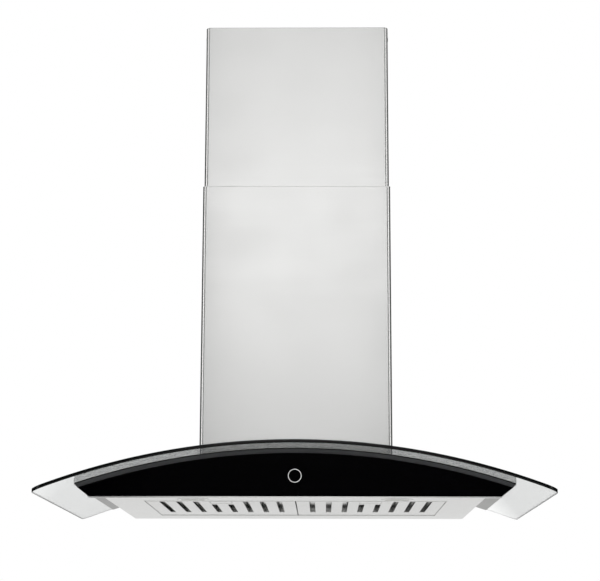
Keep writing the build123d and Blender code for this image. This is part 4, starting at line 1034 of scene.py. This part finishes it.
def floor_finish():
    """Pale studio floor: takes the hood's shadow near the middle and runs out to white."""
    material, tree, shader, place = new_finish("pale_studio_floor", {"Roughness": 0.8, "Specular IOR Level": 0.1})
    add = partial(add_node, tree)
    # The mottle is about 25 mm across
    grain = add(NOISE, {"Vector": place, "Scale": 40.0, "Detail": 2.0})
    vary(tree, shader, grain, [(*linear(shade), 1.0) for shade in ("F0F0EF", "F6F6F5")])
    flat = add(VECTOR_MATH, (place, (1.0, 1.0, 0.0)), operation="MULTIPLY")
    reach = add(VECTOR_MATH, (flat,), "Value", operation="LENGTH")
    # The floor fades to white between 1 m and 3 m from the middle
    fade = add(RANGE, (reach, 1.0, 3.0, 0.0, 1.0), interpolation_type="SMOOTHSTEP")
    # Metal and glass see a greyer belt on the floor around the lit area
    tenths = add(MATH, (reach, 0.1), operation="MULTIPLY")
    falloff = add(RAMP, (tenths,), stops=[(0.40, 1.0), (0.5, 0.66), (0.66, 0.66), (0.74, 1.0)])
    path = add("ShaderNodeLightPath").node.outputs
    mirrored = path["Is Glossy Ray"]
    level = add(MIX, {0: mirrored, 2: 1.0, 3: falloff}, data_type="FLOAT")
    glow = add("ShaderNodeEmission", (WHITE, level))
    seen = add(MATH, (path["Is Camera Ray"], path["Is Transmission Ray"]), operation="MAXIMUM")
    seen = add(MATH, (seen, mirrored), operation="MAXIMUM")
    share = add(MATH, (seen, fade), operation="MULTIPLY")
    above = add("ShaderNodeMixShader", (share, shader.outputs[0], glow))
    # From below the floor is clear, so that the underside can be looked at
    below = add("ShaderNodeNewGeometry", out="Backfacing")
    clear = add("ShaderNodeBsdfTransparent")
    both = add("ShaderNodeMixShader", (below, above, clear))
    feed(tree, tree.nodes["Material Output"], {0: both})
    return material


class HOOD_OT_stage(bpy.types.Operator):
    """Pale floor, soft lamps, white surround and the camera"""

    bl_idname = "hood.stage"
    bl_label = "Studio"

    def execute(self, context):
        scene = context.scene
        sizes = scene.hood_sizes
        scene.view_settings.view_transform = "Standard"
        studio_world()
        z, half = cad_box[0].z - sizes.floor_drop, sizes.floor_half
        corners = [(-half, -half, z), (half, -half, z), (half, half, z), (-half, half, z)]
        mesh = bpy.data.meshes.new("studio_floor")
        mesh.from_pydata(corners, [], [range(4)])
        mesh.materials.append(floor_finish())
        plain_object("studio_floor", mesh)

        for name, place, power, wide, high in LAMPS:
            lamp = bpy.data.lights.new(name, "AREA")
            lamp.shape, lamp.size, lamp.size_y, lamp.energy = "RECTANGLE", wide, high, power
            box = plain_object(name, lamp)
            box.location = place
            box.rotation_euler = (LAMP_AIM - Vector(place)).to_track_quat("-Z", "Y").to_euler()

        lens = bpy.data.cameras.new("photo_camera")
        lens.sensor_width = CAMERA_SENSOR
        lens.sensor_fit = "HORIZONTAL"
        lens.lens = CAMERA_LENS
        scene.camera = plain_object("photo_camera", lens)
        scene.camera.matrix_world = (
            Matrix.Translation(CAMERA_PLACE) @ Matrix.Rotation(-CAMERA_YAW, 4, "Z")
            @ Matrix.Rotation(math.pi / 2 + CAMERA_PITCH, 4, "X") @ Matrix.Rotation(CAMERA_ROLL, 4, "Z")
        )
        return {"FINISHED"}


OPERATORS = (
    HOOD_OT_chimney, HOOD_OT_canopy, HOOD_OT_fascia, HOOD_OT_body, HOOD_OT_filters, HOOD_OT_frame, HOOD_OT_blower,
    HOOD_OT_stage,
)


class HOOD_PT_panel(bpy.types.Panel):
    """Steps, sizes and colours of the hood"""

    bl_idname = "HOOD_PT_panel"
    bl_label = "Island Range Hood"
    bl_space_type = "VIEW_3D"
    bl_region_type = "UI"
    bl_category = "Hood"

    def draw(self, context):
        column = self.layout.column(align=True)
        for operator in OPERATORS:
            column.operator(operator.bl_idname)
        for group, keys in zip(settings(context), (SIZES, COLOURS)):
            column = self.layout.column(align=True)
            for key in keys:
                column.prop(group, key)


CLASSES = (HoodSizes, HoodColours, *OPERATORS, HOOD_PT_panel)


def register():
    for entry in CLASSES:
        bpy.utils.register_class(entry)
    bpy.types.Scene.hood_sizes = PointerProperty(type=HoodSizes)
    bpy.types.Scene.hood_colours = PointerProperty(type=HoodColours)


def unregister():
    del bpy.types.Scene.hood_colours
    del bpy.types.Scene.hood_sizes
    for entry in reversed(CLASSES):
        bpy.utils.unregister_class(entry)


def main():
    register()
    for operator in OPERATORS:
        group, name = operator.bl_idname.split(".")
        getattr(getattr(bpy.ops, group), name)()


if __name__ == "__main__":
    main()
